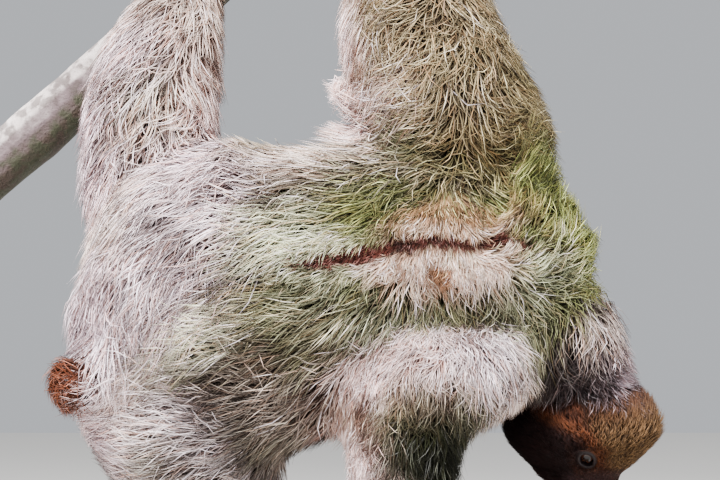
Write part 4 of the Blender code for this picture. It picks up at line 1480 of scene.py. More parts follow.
@dataclass
class Coat:
    """All the hair: long locks that hug the body and the face's short fur."""

    skin: Skin
    plan: Pelage
    flat: Unwrap
    long_locks: int = 78_000
    short_locks: int = 19_800
    piece_locks: int = 12_400
    long_taper: tuple = (0.75, 1.0, 0.62)
    short_taper: tuple = (1.0, 0.75)
    length_spread: tuple = (0.72, 1.15)
    width_spread: tuple = (0.75, 1.25)
    hold_spread: tuple = (0.25, 0.75)
    stray_share: float = 0.03
    stray_wild: float = 0.10
    stray_hold: float = 0.1
    tuck: float = 5.0
    root_depth: float = 0.8
    sag: float = 0.07
    uneven: float = 0.28
    guide_share: float = 0.075
    bright_share: float = 0.15
    warm_share: float = 0.3
    warmth: Triple = (0.88, 0.66, 0.56)
    pale_gain: float = 4.0
    pale_least: float = 0.10
    thin: float = 0.50
    per_length: float = 0.0120
    cell: float = 9.0
    pieces: list = field(default_factory=list)

    def __post_init__(self) -> None:
        """Reads the skin's mesh and starts the random numbers."""
        mesh = self.skin.obj.data
        self.random = np.random.default_rng(SEED)
        self.points = read_points(mesh)
        self.triangles = read_triangles(mesh)
        self.slope = self.skin.outline.slope()
        self.bend = [Noise(SEED + 10 + i, cell) for i, cell in enumerate((34.0, 11.0))]
        self.patchy = Noise(SEED + 20, 9.0)
        self.streaky = Noise(SEED + 21, 8.0)

    def scatter(self, count: int, crowd: Callable[[Array], Array]) -> tuple[Array, Array]:
        """Spreads roots over the skin.

        Args:
            count: how many.
            crowd: gives how densely roots stand at each place.

        Returns:
            The roots' places and the skin's normals there.
        """
        a, b, c = (self.points[self.triangles[:, i]] for i in range(3))
        normal = np.cross(b - a, c - a)
        area = 0.5 * np.linalg.norm(normal, axis=1)
        middle = (a + b + c) / 3.0
        cell = (middle // self.cell).astype(int)
        order = np.lexsort((middle[:, 1], cell[:, 0], cell[:, 2]))
        weight = np.cumsum((area * crowd(middle))[order])
        spots = (np.arange(count) + self.random.random(count)) / count * weight[-1]
        face = order[np.minimum(np.searchsorted(weight, spots), len(order) - 1)]
        u, v = self.random.random((2, count))
        over = u + v > 1.0
        u[over], v[over] = 1.0 - u[over], 1.0 - v[over]
        places = a[face] + u[:, None] * (b - a)[face] + v[:, None] * (c - a)[face]
        return places, unit(normal[face])

    def width(self, length: Array) -> Array:
        """Gives a lock's width for its length, both in millimetres."""
        return self.thin + self.per_length * length

    def crowd_long(self, places: Array) -> Array:
        """Gives how densely long locks stand: closer where they are short, and more on the back.

        Args:
            places: points on the skin.

        Returns:
            Numbers that only count against each other.
        """
        length = self.plan.read(places)[:, Pelage.LENGTH]
        local = self.plan.head.axes.local(places)
        face = self.plan.face(local)
        near = places - self.plan.origin
        back = 1.0 + 0.35 * step_up(near[:, 1], 10.0, -40.0)
        return back * (1.0 - face) / (length**0.8 * self.width(length))

    def crowd_short(self, places: Array) -> Array:
        """Gives how densely the face's fur stands."""
        local = self.plan.head.axes.local(places)
        return self.plan.face(local) * (1.0 - self.plan.head.bare(local)) ** 2

    def turned(self, flow: Array, normal: Array, angle: Array) -> Array:
        """Lays directions along the surface with the given normals, turned by angles in radians."""
        flat = unit(flow - (flow * normal).sum(axis=1, keepdims=True) * normal)
        return np.cos(angle)[:, None] * flat + np.sin(angle)[:, None] * np.cross(normal, flat)

    def grow_long(self) -> tuple[Locks, Array]:
        """Grows the long locks along the body.

        Returns:
            The locks, and their roots.
        """
        roots, face_normal = self.scatter(self.long_locks, self.crowd_long)
        count = len(roots)
        rows = self.plan.read(roots)
        wild, length = rows[:, Pelage.WILD], rows[:, Pelage.LENGTH]
        draw = self.random
        length = length * draw.uniform(*self.length_spread, count)
        stray = draw.random(count) < self.stray_share + self.stray_wild * wild
        top = rows[:, Pelage.LIFT] - self.tuck * draw.random(count) ** 1.6
        bright = np.where(draw.random(count) < self.bright_share, draw.uniform(0.25, 0.75, count), 0.0)
        raised = wild * np.abs(draw.normal(0.0, 2.4, count))
        top += raised + stray * draw.uniform(0.0, 4.0, count) + 2.0 * bright
        start = self.skin.outline(roots) - self.root_depth
        angle = draw.normal(0.0, 0.10 + 0.55 * wild, count)
        angle += (0.12 + 0.5 * wild) * self.bend[0](roots) + (0.06 + 0.35 * wild) * self.bend[1](roots)
        curl = draw.normal(0.0, 0.10 + 0.30 * wild, count)
        steps = len(self.long_taper)
        spot = roots - self.root_depth * face_normal
        path = [spot]
        for k in range(1, steps + 1):
            t = k / steps
            flow = unit(self.plan.table(spot)[:, Pelage.FLOW])
            normal = unit(self.slope(spot))
            ahead = self.turned(flow, normal, angle + curl * k)
            spot = spot + ahead * (length / steps)[:, None]
            height = start + (top - start) * t**0.7
            normal = unit(self.slope(spot))
            rise = np.clip(height - self.skin.outline(spot), -length / steps, length / steps)
            spot = spot + rise[:, None] * normal
            path.append(spot)
        path = np.stack(path, axis=1)
        path[:, :, 2] -= (self.sag * length)[:, None] * (np.arange(steps + 1) / steps) ** 2
        hold = np.where(stray, self.stray_hold, draw.uniform(*self.hold_spread, count))
        path, clump = self.gathered(path, roots, hold)
        root, tip, dark = self.plan.colours(roots)
        streak = self.streaks(roots, rows[:, Pelage.FLOW])
        pick = 0.5 * draw.random(count) + 0.5 * clump
        keep = step_up(dark - pick * 0.8 - 0.55 * streak, -0.12, 0.12) * draw.uniform(0.55, 0.95, count)
        tip = tip + keep[:, None] * (root - tip)
        tip = tip * (1.0 + self.uneven * self.patchy(roots) + self.uneven * streak)[:, None]
        warm = np.where(draw.random(count) < self.warm_share, draw.uniform(0.4, 1.0, count), 0.0)
        tip = tip * (1.0 - warm[:, None] * (1.0 - np.array(self.warmth)))
        pale = np.minimum(Tone.WHITE.tip, self.pale_gain * tip + self.pale_least)
        tip = tip + bright[:, None] * (pale - tip)
        width = self.width(length) * draw.uniform(*self.width_spread, count) * np.where(stray, 0.7, 1.0)
        normal = unit(self.slope(path[:, 1]))
        strand = 0.5 * draw.random(count) + 0.5 * clump
        return Locks(path, normal, width, root, tip, strand), roots

    def streaks(self, roots: Array, flow: Array) -> Array:
        """Reads a noise drawn out along the lie of the hair, from -1 to 1."""
        near = roots - self.plan.origin
        return self.streaky(near - 0.8 * (near * flow).sum(axis=1, keepdims=True) * flow)

    def gathered(self, path: Array, roots: Array, hold: Array) -> tuple[Array, Array]:
        """Draws locks together into clumps towards their tips.

        Args:
            path: the locks' paths.
            roots: their roots.
            hold: how strongly each is drawn, from 0 to 1.

        Returns:
            The clumped paths, and a random number that each clump's locks share.
        """
        guides = self.random.choice(len(roots), int(len(roots) * self.guide_share), replace=False)
        tree = KDTree(len(guides))
        for i, guide in enumerate(guides):
            tree.insert(roots[guide], i)
        tree.balance()
        nearest = np.array([tree.find(spot)[1] for spot in roots.tolist()])
        near = guides[nearest]
        along = np.arange(path.shape[1]) / (path.shape[1] - 1)
        pull = hold[:, None] * along**1.4
        target = path[near] + 0.18 * (roots - roots[near])[:, None, :]
        return path + pull[..., None] * (target - path), self.random.random(len(guides))[nearest]

    def grow_short(self) -> tuple[Locks, Array]:
        """Grows the face's short fur, which fans out from the nose.

        Returns:
            The locks, and their roots.
        """
        roots, normal = self.scatter(self.short_locks, self.crowd_short)
        count, draw, head = len(roots), self.random, self.plan.head
        local = head.axes.local(roots)
        nose = np.array([head.axes.nose_forward + 6.0, head.axes.nose_up, 0.0])
        away = local - nose
        reach = np.linalg.norm(away, axis=1)
        away[:, 0] *= 0.75
        flow = head.axes.turned(away)
        angle = draw.normal(0.0, 0.22, count) + 0.25 * self.bend[1](roots)
        crown = step_up(local[:, 1], 30.0, 52.0)
        length = (3.2 + 0.105 * reach + 5.0 * crown) * draw.uniform(0.75, 1.2, count)
        lean = 0.30 + 0.10 * draw.random(count) + 0.22 * crown
        steps = len(self.short_taper)
        spot = roots - 0.4 * normal
        path = [spot]
        for k in range(1, steps + 1):
            ahead = self.turned(flow, normal, angle + 0.15 * k * draw.normal(0.0, 1.0, count))
            rise = lean * (1.1 - 0.5 * (k - 1))
            spot = spot + unit(ahead + rise[:, None] * normal) * (length / steps)[:, None]
            path.append(spot)
        path = np.stack(path, axis=1)
        root, tip, dark = self.plan.colours(roots)
        keep = (draw.random(count) < dark) * 0.7
        tip = (tip + keep[:, None] * (root - tip)) * (1.0 + 0.12 * self.patchy(roots))[:, None]
        width = (0.48 + 0.022 * length) * draw.uniform(0.8, 1.2, count)
        return Locks(path, normal, width, root, tip, draw.random(count)), roots

    def regions(self, roots: Array) -> list[tuple[str, Array]]:
        """Sorts roots into named pieces.

        Args:
            roots: the long locks' roots.

        Returns:
            Each piece's name and the numbers of its locks.
        """
        forms = [Form.of_nodes(part.value) for part in Part]
        trees = [BVHTree.FromPolygons(form.points.tolist(), form.triangles.tolist()) for form in forms]
        spots = roots.tolist()
        away = np.array([[tree.find_nearest(spot)[3] for spot in spots] for tree in trees])
        part = np.argmin(away, axis=0)
        near = roots - self.plan.origin
        order = list(Part)
        body = part == order.index(Part.BODY)
        rump, back = near[:, 0] < -70.0, near[:, 1] < 0.0
        found = [
            ("coat_rump", body & rump & back),
            ("coat_rump_far", body & rump & ~back),
            ("coat_back", body & ~rump & back),
            ("coat_belly", body & ~rump & ~back),
        ]
        for other in order[1:]:
            found.append((f"coat_{other.name.lower()}", part == order.index(other)))
        named = []
        for name, chosen in found:
            numbers = np.flatnonzero(chosen)
            shares = int(np.ceil(len(numbers) / self.piece_locks))
            for i in range(shares):
                named.append((f"{name}_{i + 1}" if shares > 1 else name, numbers[i::shares]))
        return named

    def build(self) -> None:
        """Makes all the coat's pieces."""
        locks, roots = self.grow_long()
        flat = self.flat(roots)
        for name, chosen in self.regions(roots):
            self.pieces.append(locks.some(chosen).mesh(name, flat[chosen], self.long_taper))
        locks, roots = self.grow_short()
        self.pieces.append(locks.mesh("coat_face", self.flat(roots), self.short_taper))


# ---- shader arithmetic ----


Operand = Union["Signal", float, int, Sequence[float]]


class Signal:
    """An output socket that can be used in sums, so that a shader reads as arithmetic."""

    def __init__(self, graph: "Graph", socket: bpy.types.NodeSocket) -> None:
        """Keeps the socket and the graph that it belongs to."""
        self.graph = graph
        self.socket = socket
        self.is_vector = socket.type in ("VECTOR", "RGBA")

    def combine(self, operation: str, other: Operand, swapped: bool = False) -> "Signal":
        """Joins this signal with another by a Math or Vector Math node.

        Args:
            operation: the node's operation.
            other: a signal, a number or a triple.
            swapped: whether the other comes first.

        Returns:
            The result.
        """
        vector = self.is_vector or getattr(other, "is_vector", isinstance(other, (tuple, list)))
        if vector and isinstance(other, (int, float)):
            other = (float(other),) * 3
        first, second = (other, self) if swapped else (self, other)
        kind = "ShaderNodeVectorMath" if vector else "ShaderNodeMath"
        return self.graph.make(kind, {"operation": operation}, {0: first, 1: second})

    def __add__(self, other: Operand) -> "Signal":
        """Adds."""
        return self.combine("ADD", other)

    def __radd__(self, other: Operand) -> "Signal":
        """Adds from the left."""
        return self.combine("ADD", other, True)

    def __sub__(self, other: Operand) -> "Signal":
        """Subtracts."""
        return self.combine("SUBTRACT", other)

    def __rsub__(self, other: Operand) -> "Signal":
        """Is subtracted, as in 1 - mask."""
        return self.combine("SUBTRACT", other, True)

    def __mul__(self, other: Operand) -> "Signal":
        """Multiplies."""
        return self.combine("MULTIPLY", other)

    def __rmul__(self, other: Operand) -> "Signal":
        """Multiplies from the left."""
        return self.combine("MULTIPLY", other, True)

    def steps(self, start: float, end: float) -> "Signal":
        """Rises smoothly from 0 to 1 as the value goes from start to end."""
        values = {"Value": self, "From Min": start, "From Max": end}
        return self.graph.make("ShaderNodeMapRange", {"interpolation_type": "SMOOTHSTEP"}, values)


class Graph:
    """A material's nodes, made one call at a time."""

    def __init__(self, name: str, roughness: float, **constants: Union[float, Sequence[float]]) -> None:
        """Starts a material with one Principled BSDF.

        Args:
            name: the material's name.
            roughness: its roughness, where nothing else is linked to it.
            constants: other sockets of the shader, with spaces written as underscores.
        """
        self.material = bpy.data.materials.new(name)
        self.material.use_nodes = True
        self.tree = self.material.node_tree
        self.shader = self.tree.nodes["Principled BSDF"]
        self.shader.inputs["Roughness"].default_value = roughness
        for socket, value in constants.items():
            self.shader.inputs[socket.replace("_", " ")].default_value = value

    def make(self, kind: str, settings: dict, values: dict, output: Union[str, int, None] = None) -> Signal:
        """Makes a node.

        Args:
            kind: the node's type.
            settings: its properties, which are set first.
            values: what goes to its inputs, by name or number: signals, numbers or tuples.
            output: the output wanted, if it isn't the first one in use.

        Returns:
            The output.
        """
        node = self.tree.nodes.new(kind)
        for name, value in settings.items():
            setattr(node, name, value)
        for name, value in values.items():
            self.feed(node.inputs[name], value)
        if output is None:
            return Signal(self, next(socket for socket in node.outputs if socket.enabled))
        return Signal(self, node.outputs[output])

    def feed(self, socket: bpy.types.NodeSocket, value: Operand) -> None:
        """Links a signal to an input, or sets the input's value.

        Args:
            socket: the input.
            value: what it takes.
        """
        if isinstance(value, Signal):
            self.tree.links.new(value.socket, socket)
        elif socket.type == "RGBA" and len(value) == 3:
            socket.default_value = (*value, 1.0)
        else:
            socket.default_value = value

    def into(self, socket: str, signal: Signal) -> None:
        """Links a signal to one of the shader's inputs."""
        self.tree.links.new(signal.socket, self.shader.inputs[socket])

    def number(self, name: str) -> Signal:
        """Reads a mesh attribute that holds one number."""
        return self.make("ShaderNodeAttribute", {"attribute_name": name}, {}, "Fac")

    def colour(self, name: str) -> Signal:
        """Reads a mesh attribute that holds a colour."""
        return self.make("ShaderNodeAttribute", {"attribute_name": name}, {}, "Color")

    def place(self) -> Signal:
        """Gives each point's place on the object, in metres."""
        return self.make("ShaderNodeTexCoord", {}, {}, "Object")

    def noise(self, scale: float, detail: float = 3.0, at: Union[Signal, None] = None) -> Signal:
        """Makes a noise of so many grains a metre and finer layers, read at the given places."""
        values = {"Vector": at or self.place(), "Scale": scale, "Detail": detail}
        return self.make("ShaderNodeTexNoise", {}, values, "Fac")

    def mix(self, factor: Operand, first: Operand, second: Operand) -> Signal:
        """Mixes two colours: the factor is 0 for the first and 1 for the second."""
        return self.make("ShaderNodeMix", {"data_type": "RGBA"}, {0: factor, 6: first, 7: second}, 2)

    def bump(self, height: Signal, strength: float, distance: float) -> None:
        """Gives the shader a bump, whose full depth is a distance in metres."""
        values = {"Height": height, "Strength": strength, "Distance": distance}
        self.into("Normal", self.make("ShaderNodeBump", {}, values, "Normal"))


# ---- finishes ----


@dataclass(frozen=True)
class FurFinish:
    """The coat's hair: coloured by the markings, darker at the root (partly the underfur's own brown, partly
    painted shade deep in the coat), each strand a little apart.
    """

    roughness: float = 0.6
    specular: float = 0.12
    root_end: float = 0.05
    tip_start: float = 0.72
    darkest: float = 0.60
    spread: float = 0.72

    def material(self) -> Material:
        """Makes the material.

        Returns:
            The material.
        """
        graph = Graph("fur", self.roughness, Specular_IOR_Level=self.specular)
        along = graph.number("along").steps(self.root_end, self.tip_start)
        colour = graph.mix(along, graph.colour("under"), graph.colour("over"))
        strand = graph.number("strand") * self.spread + self.darkest
        grain = graph.noise(900.0, 2.0) * 0.30 + 0.85
        graph.into("Base Color", colour * (strand * grain))
        return graph.material


@dataclass(frozen=True)
class SkinFinish:
    """The skin: coloured near the coat's darker roots under the hair, partly as painted shade in the gaps
    between locks; purple-grey where it is bare.
    """

    bare_colour: Triple = srgb(42, 30, 38)
    lid_colour: Triple = srgb(16, 9, 11)
    crease_colour: Triple = srgb(16, 10, 10)
    roughness: float = 0.8
    specular: float = 0.15

    def material(self) -> Material:
        """Makes the material.

        Returns:
            The material.
        """
        graph = Graph("skin", self.roughness, Specular_IOR_Level=self.specular)
        bare, lid, crease = (graph.number(name) for name in ("bare", "lid", "crease"))
        streaks = graph.noise(700.0, 4.0)
        fur = graph.colour("under") * (streaks * 0.8 + 0.55)
        pores = graph.noise(1800.0, 3.0)
        leather = graph.mix(lid, self.bare_colour, self.lid_colour) * (pores * 0.5 + 0.75)
        colour = graph.mix(bare, fur, leather)
        graph.into("Base Color", graph.mix(crease, colour, self.crease_colour))
        graph.into("Roughness", self.roughness - 0.36 * bare)
        graph.bump(streaks * (1 - bare) + pores * 0.35, 0.7, 0.0008)
        return graph.material


@dataclass(frozen=True)
class EyeFinish:
    """A wet dark eye: a black pupil in a deep brown iris."""

    centre: Triple
    look: Triple
    iris: Triple = srgb(42, 22, 14)
    pupil: Triple = srgb(4, 3, 4)
    white: Triple = srgb(60, 46, 42)
    roughness: float = 0.06
    specular: float = 0.22
    pupil_edge: float = 0.90
    iris_edge: float = 0.62

    def material(self) -> Material:
        """Makes the material.

        Returns:
            The material.
        """
        graph = Graph("wet_eye", self.roughness, Specular_IOR_Level=self.specular)
        off = graph.place() - tuple(MM * c for c in self.centre)
        turned = graph.make("ShaderNodeVectorMath", {"operation": "NORMALIZE"}, {0: off})
        inputs = {0: turned, 1: self.look}
        facing = graph.make("ShaderNodeVectorMath", {"operation": "DOT_PRODUCT"}, inputs, "Value")
        colour = graph.mix(facing.steps(self.iris_edge - 0.05, self.iris_edge + 0.05), self.white, self.iris)
        colour = graph.mix(facing.steps(self.pupil_edge - 0.03, self.pupil_edge + 0.01), colour, self.pupil)
        graph.into("Base Color", colour)
        return graph.material


@dataclass(frozen=True)
class NoseFinish:
    """Moist purple-black leather."""

    colour: Triple = srgb(28, 19, 24)
    worn: Triple = srgb(58, 44, 56)
    roughness: float = 0.42
    grain: float = 1100.0

    def material(self) -> Material:
        """Makes the material.

        Returns:
            The material.
        """
        sheen = {"Specular_IOR_Level": 0.3, "Coat_Weight": 0.1, "Coat_Roughness": 0.3}
        graph = Graph("nose_leather", self.roughness, **sheen)
        cells = {"Vector": graph.place(), "Scale": self.grain}
        grain = graph.make("ShaderNodeTexVoronoi", {}, cells, "Distance")
        cloud = graph.noise(240.0)
        graph.into("Base Color", graph.mix(cloud.steps(0.35, 0.75), self.colour, self.worn))
        graph.bump(grain, 0.3, 0.0003)
        return graph.material


@dataclass(frozen=True)
class ClawFinish:
    """Horn: brown and dull at the root, yellow-grey and smoother towards the tip."""

    base: Triple = srgb(92, 74, 56)
    horn: Triple = srgb(190, 176, 142)
    tip: Triple = srgb(150, 132, 100)

    def material(self) -> Material:
        """Makes the material.

        Returns:
            The material.
        """
        graph = Graph("horn", 0.4, Coat_Weight=0.3, Coat_Roughness=0.3)
        cloud = graph.noise(120.0, 4.0)
        along = graph.number("along") + 0.25 * (cloud - 0.5)
        colour = graph.mix(along.steps(0.0, 0.4), self.base, self.horn)
        colour = graph.mix(along.steps(0.7, 1.0), colour, self.tip)
        graph.into("Base Color", colour * (graph.noise(700.0, 2.0) * 0.3 + 0.85))
        graph.into("Roughness", 0.34 + 0.2 * cloud)
        graph.bump(cloud, 0.3, 0.0004)
        return graph.material


@dataclass(frozen=True)
class BarkFinish:
    """Bark with fine specks, lighter above and darker below as painted light: pale on the top as a painted
    highlight, mottled lilac-grey at its sides, brown and mossy below, darker there partly as painted shade.
    """

    # pale is a painted highlight for the lit top; the side and underside colours are partly painted shade
    pale: Triple = srgb(222, 212, 208)
    lilac: Triple = srgb(78, 64, 67)
    speck: Triple = srgb(44, 33, 30)
    brown: Triple = srgb(44, 32, 22)
    moss: Triple = srgb(36, 38, 18)
    knot: Triple = srgb(84, 34, 26)
    cut: Triple = srgb(184, 152, 110)

    def material(self) -> Material:
        """Makes the material.

        Returns:
            The material.
        """
        graph = Graph("bark", 0.85)
        big, middle, fine = graph.noise(24.0, 5.0), graph.noise(90.0, 6.0), graph.noise(480.0, 4.0)
        # painted light: pale where the surface faces up, darker towards the underside
        under = graph.number("under_side") + 0.55 * (big - 0.5) + 0.35 * (middle - 0.5)
        colour = graph.mix(under.steps(-0.32, 0.34), self.pale, self.lilac)
        colour = graph.mix(middle.steps(0.50, 0.62) * 0.6, colour, self.speck)
        low = graph.mix(middle.steps(0.4, 0.6), self.brown, self.moss)
        colour = graph.mix(under.steps(0.28, 0.74), colour, low)
        colour = graph.mix(fine.steps(0.58, 0.7) * 0.5, colour, self.speck)
        colour = graph.mix(graph.number("knot"), colour, self.knot)
        wood = graph.mix(graph.number("ring"), self.cut, self.brown)
        colour = graph.mix(graph.number("cut"), colour, wood)
        graph.into("Base Color", colour * (fine * 0.5 + 0.75))
        graph.bump(middle + 0.6 * fine, 0.9, 0.0022)
        return graph.material


@dataclass(frozen=True)
class WoodFinish:
    """A plain oiled wooden base."""

    dark: Triple = srgb(74, 48, 32)
    light: Triple = srgb(126, 88, 58)

    def material(self) -> Material:
        """Makes the material.

        Returns:
            The material.
        """
        graph = Graph("oiled_wood", 0.42, Coat_Weight=0.15, Coat_Roughness=0.35)
        stretched = graph.place() * (0.09, 1.0, 1.0)
        warp = graph.noise(9.0, 2.0, stretched)
        bands = graph.noise(150.0, 5.0, stretched + warp * (0.02, 0.02, 0.02))
        graph.into("Base Color", graph.mix(bands.steps(0.32, 0.7), self.dark, self.light))
        graph.bump(bands, 0.18, 0.0005)
        return graph.material


@dataclass(frozen=True)
class SteelFinish:
    """Brushed steel rods."""

    colour: Triple = srgb(150, 150, 152)

    def material(self) -> Material:
        """Makes the material.

        Returns:
            The material.
        """
        graph = Graph("brushed_steel", 0.34, Metallic=1.0)
        lines = graph.noise(260.0, 3.0, graph.place() * (9.0, 9.0, 0.25))
        graph.into("Base Color", graph.mix(lines, self.colour, tuple(0.75 * c for c in self.colour)))
        graph.into("Roughness", 0.28 + 0.16 * lines)
        return graph.material


@dataclass(frozen=True)
class FloorFinish:
    """The plain pale floor."""

    colour: Triple = srgb(214, 212, 208)

    def material(self) -> Material:
        """Makes the material.

        Returns:
            The material.
        """
        graph = Graph("floor", 0.85)
        graph.feed(graph.shader.inputs["Base Color"], self.colour)
        return graph.material


def dress(obj: Piece, material: Material) -> None:
    """Gives an object one material in place of its own."""
    obj.data.materials.clear()
    obj.data.materials.append(material)


def hand_over(obj: Piece, material: Material, replaced: Sequence[str] = ()) -> None:
    """Dresses a finished piece and gives it to the frame.

    Args:
        obj: the piece.
        material: its finish.
        replaced: the CAD nodes that the piece stands for.
    """
    dress(obj, material)
    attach(obj, "root")
    if replaced:
        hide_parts(*replaced)
    mesh = obj.data
    mesh.calc_loop_triangles()
    log.info("%s: %d vertices, %d triangles", obj.name, len(mesh.vertices), len(mesh.loop_triangles))


# ---- the smaller pieces ----


def band(index: Array) -> Array:
    """Lists the triangles between rings of vertices, whose numbers are rows of an array."""
    on = np.roll(index, -1, axis=1)
    a, b, c, d = (grid.ravel() for grid in (index[:-1], index[1:], on[1:], on[:-1]))
    return np.concatenate([np.stack([a, b, c], 1), np.stack([a, c, d], 1)])


def ball_faces(rings: int, sides: int) -> Array:
    """Lists the triangles of a ball of rings between two poles.

    Args:
        rings: how many bands it has from pole to pole.
        sides: how many vertices each ring has.

    Returns:
        Rows of vertex numbers: the first pole, the rings in turn, the last pole.
    """
    index = 1 + np.arange((rings - 1) * sides).reshape(rings - 1, sides)
    on = np.roll(index, -1, axis=1)
    tops = np.stack([np.zeros(sides, int), index[0], on[0]], axis=1)
    ends = np.stack([np.full(sides, index[-1, -1] + 1), on[-1], index[-1]], axis=1)
    return np.concatenate([tops, band(index), ends])


def ball(rings: int, sides: int) -> Array:
    """Sets the vertices of a ball of radius one whose poles lie along its first direction.

    Args:
        rings: how many bands it has from pole to pole.
        sides: how many vertices each ring has.

    Returns:
        The vertices: the first pole, the rings in turn, the last pole.
    """
    polar = np.pi * np.arange(1, rings) / rings
    turn = 2.0 * np.pi * np.arange(sides) / sides
    p, t = (grid.ravel() for grid in np.meshgrid(polar, turn, indexing="ij"))
    points = np.stack([np.cos(p), np.sin(p) * np.sin(t), np.sin(p) * np.cos(t)], axis=1)
    return np.concatenate([[[1.0, 0.0, 0.0]], points, [[-1.0, 0.0, 0.0]]])


def outward(points: Array, faces: Array) -> Array:
    """Turns a closed mesh's triangles round if they face inwards."""
    a, b, c = (points[faces[:, i]] - points.mean(axis=0) for i in range(3))
    return faces[:, ::-1] if (np.cross(a, b) * c).sum() < 0.0 else faces


@dataclass
class Nose:
    """The nose pad, with nostrils and the groove between them."""

    head: HeadForm
    rings: int = 44
    sides: int = 64
    half: Triple = (7.3, 8.2, 8.7)
    squareness: float = 2.5
    nostril_side: float = 3.7
    nostril_up: float = -0.6
    nostril_depth: float = 2.6
    nostril_wide: float = 1.7
    groove_depth: float = 0.8

    def build(self) -> Piece:
        """Makes the pad in the room that its CAD node has.

        Returns:
            The pad.
        """
        spots = ball(self.rings, self.sides)
        size = (np.abs(spots) ** self.squareness).sum(axis=1) ** (-1.0 / self.squareness)
        local = spots * size[:, None] * np.array(self.half)
        front = step_up(local[:, 0], 0.0, 3.5)
        for side in (-1.0, 1.0):
            across = local[:, 2] - side * self.nostril_side
            high_off = local[:, 1] - self.nostril_up - 0.35 * side * across
            ring = np.hypot(across / self.nostril_wide, high_off / (0.75 * self.nostril_wide))
            local[:, 0] -= self.nostril_depth * np.exp(-(ring**4)) * front
        groove = np.exp(-((local[:, 2] / 0.7) ** 2)) * step_up(local[:, 1], 2.0, -1.0)
        local[:, 0] -= self.groove_depth * groove * front
        points = self.head.axes.turned(local) + middle_of("nose")
        return make_mesh("nose_pad", points, outward(points, ball_faces(self.rings, self.sides)))

    def dress(self, obj: Piece) -> None:
        """Gives the pad its leather and its place."""
        hand_over(obj, NoseFinish().material(), ("nose",))


@dataclass
class Perch:
    """The cut branch that the animal hangs from, with knots, dents and growth rings."""

    step: float = 2.0
    dent: float = 1.1
    knots: int = 7

    def build(self) -> Piece:
        """Makes the branch a little inside its CAD node.

        Returns:
            The branch, with the values that its bark reads.
        """
        node = Form.of_nodes(("perch_branch",))
        low, high = box_of("perch_branch")
        grid = lattice_of(node.distances(self.step, 8.0, 12.0), self.step, low - 8.0, high + 8.0)
        form = Form.of_level(as_grid(grid.blurred(1)), -0.4)
        points = form.points
        slope = grid.slope()
        middle = points.mean(axis=0)
        axis = np.linalg.svd(points - middle, full_matrices=False)[2][0]
        along = (points - middle) @ axis
        ends = np.minimum(along - along.min(), along.max() - along)
        side = step_up(ends, 1.0, 4.0)
        relief = 0.6 * Noise(SEED + 30, 26.0)(points) + 0.4 * Noise(SEED + 31, 9.0)(points)
        draw = np.random.default_rng(SEED + 2)
        knot = np.zeros(len(points))
        spots = points[draw.choice(np.flatnonzero(ends > 20.0), self.knots)]
        for spot, wide in zip(spots, draw.uniform(4.0, 8.0, self.knots)):
            gap = np.linalg.norm(points - spot, axis=1) / wide
            knot = np.maximum(knot, np.exp(-(gap**2)))
        move = (-0.5 + 0.5 * relief) * self.dent * side - 0.9 * knot * side
        points = points + unit(slope(points)) * move[:, None]
        obj = make_mesh("branch_bark", points, form.triangles)
        facing = unit(slope(points))
        radial = points - middle - along[:, None] * axis
        reach = np.linalg.norm(radial, axis=1)
        # painted light for the bark: 0 on the lit top, 1 on the shaded underside
        write_values(obj.data, "under_side", step_up(facing[:, 2], 0.75, -0.85))
        write_values(obj.data, "knot", knot**2 * side)
        write_values(obj.data, "cut", step_up(np.abs(facing @ axis), 0.75, 0.92) * step_up(ends, 3.0, 0.5))
        write_values(obj.data, "ring", 0.5 + 0.5 * np.sin(reach * 2.2 + relief))
        return obj

    def dress(self, obj: Piece) -> None:
        """Gives the branch its bark and its place."""
        hand_over(obj, BarkFinish().material(), ("perch_branch",))


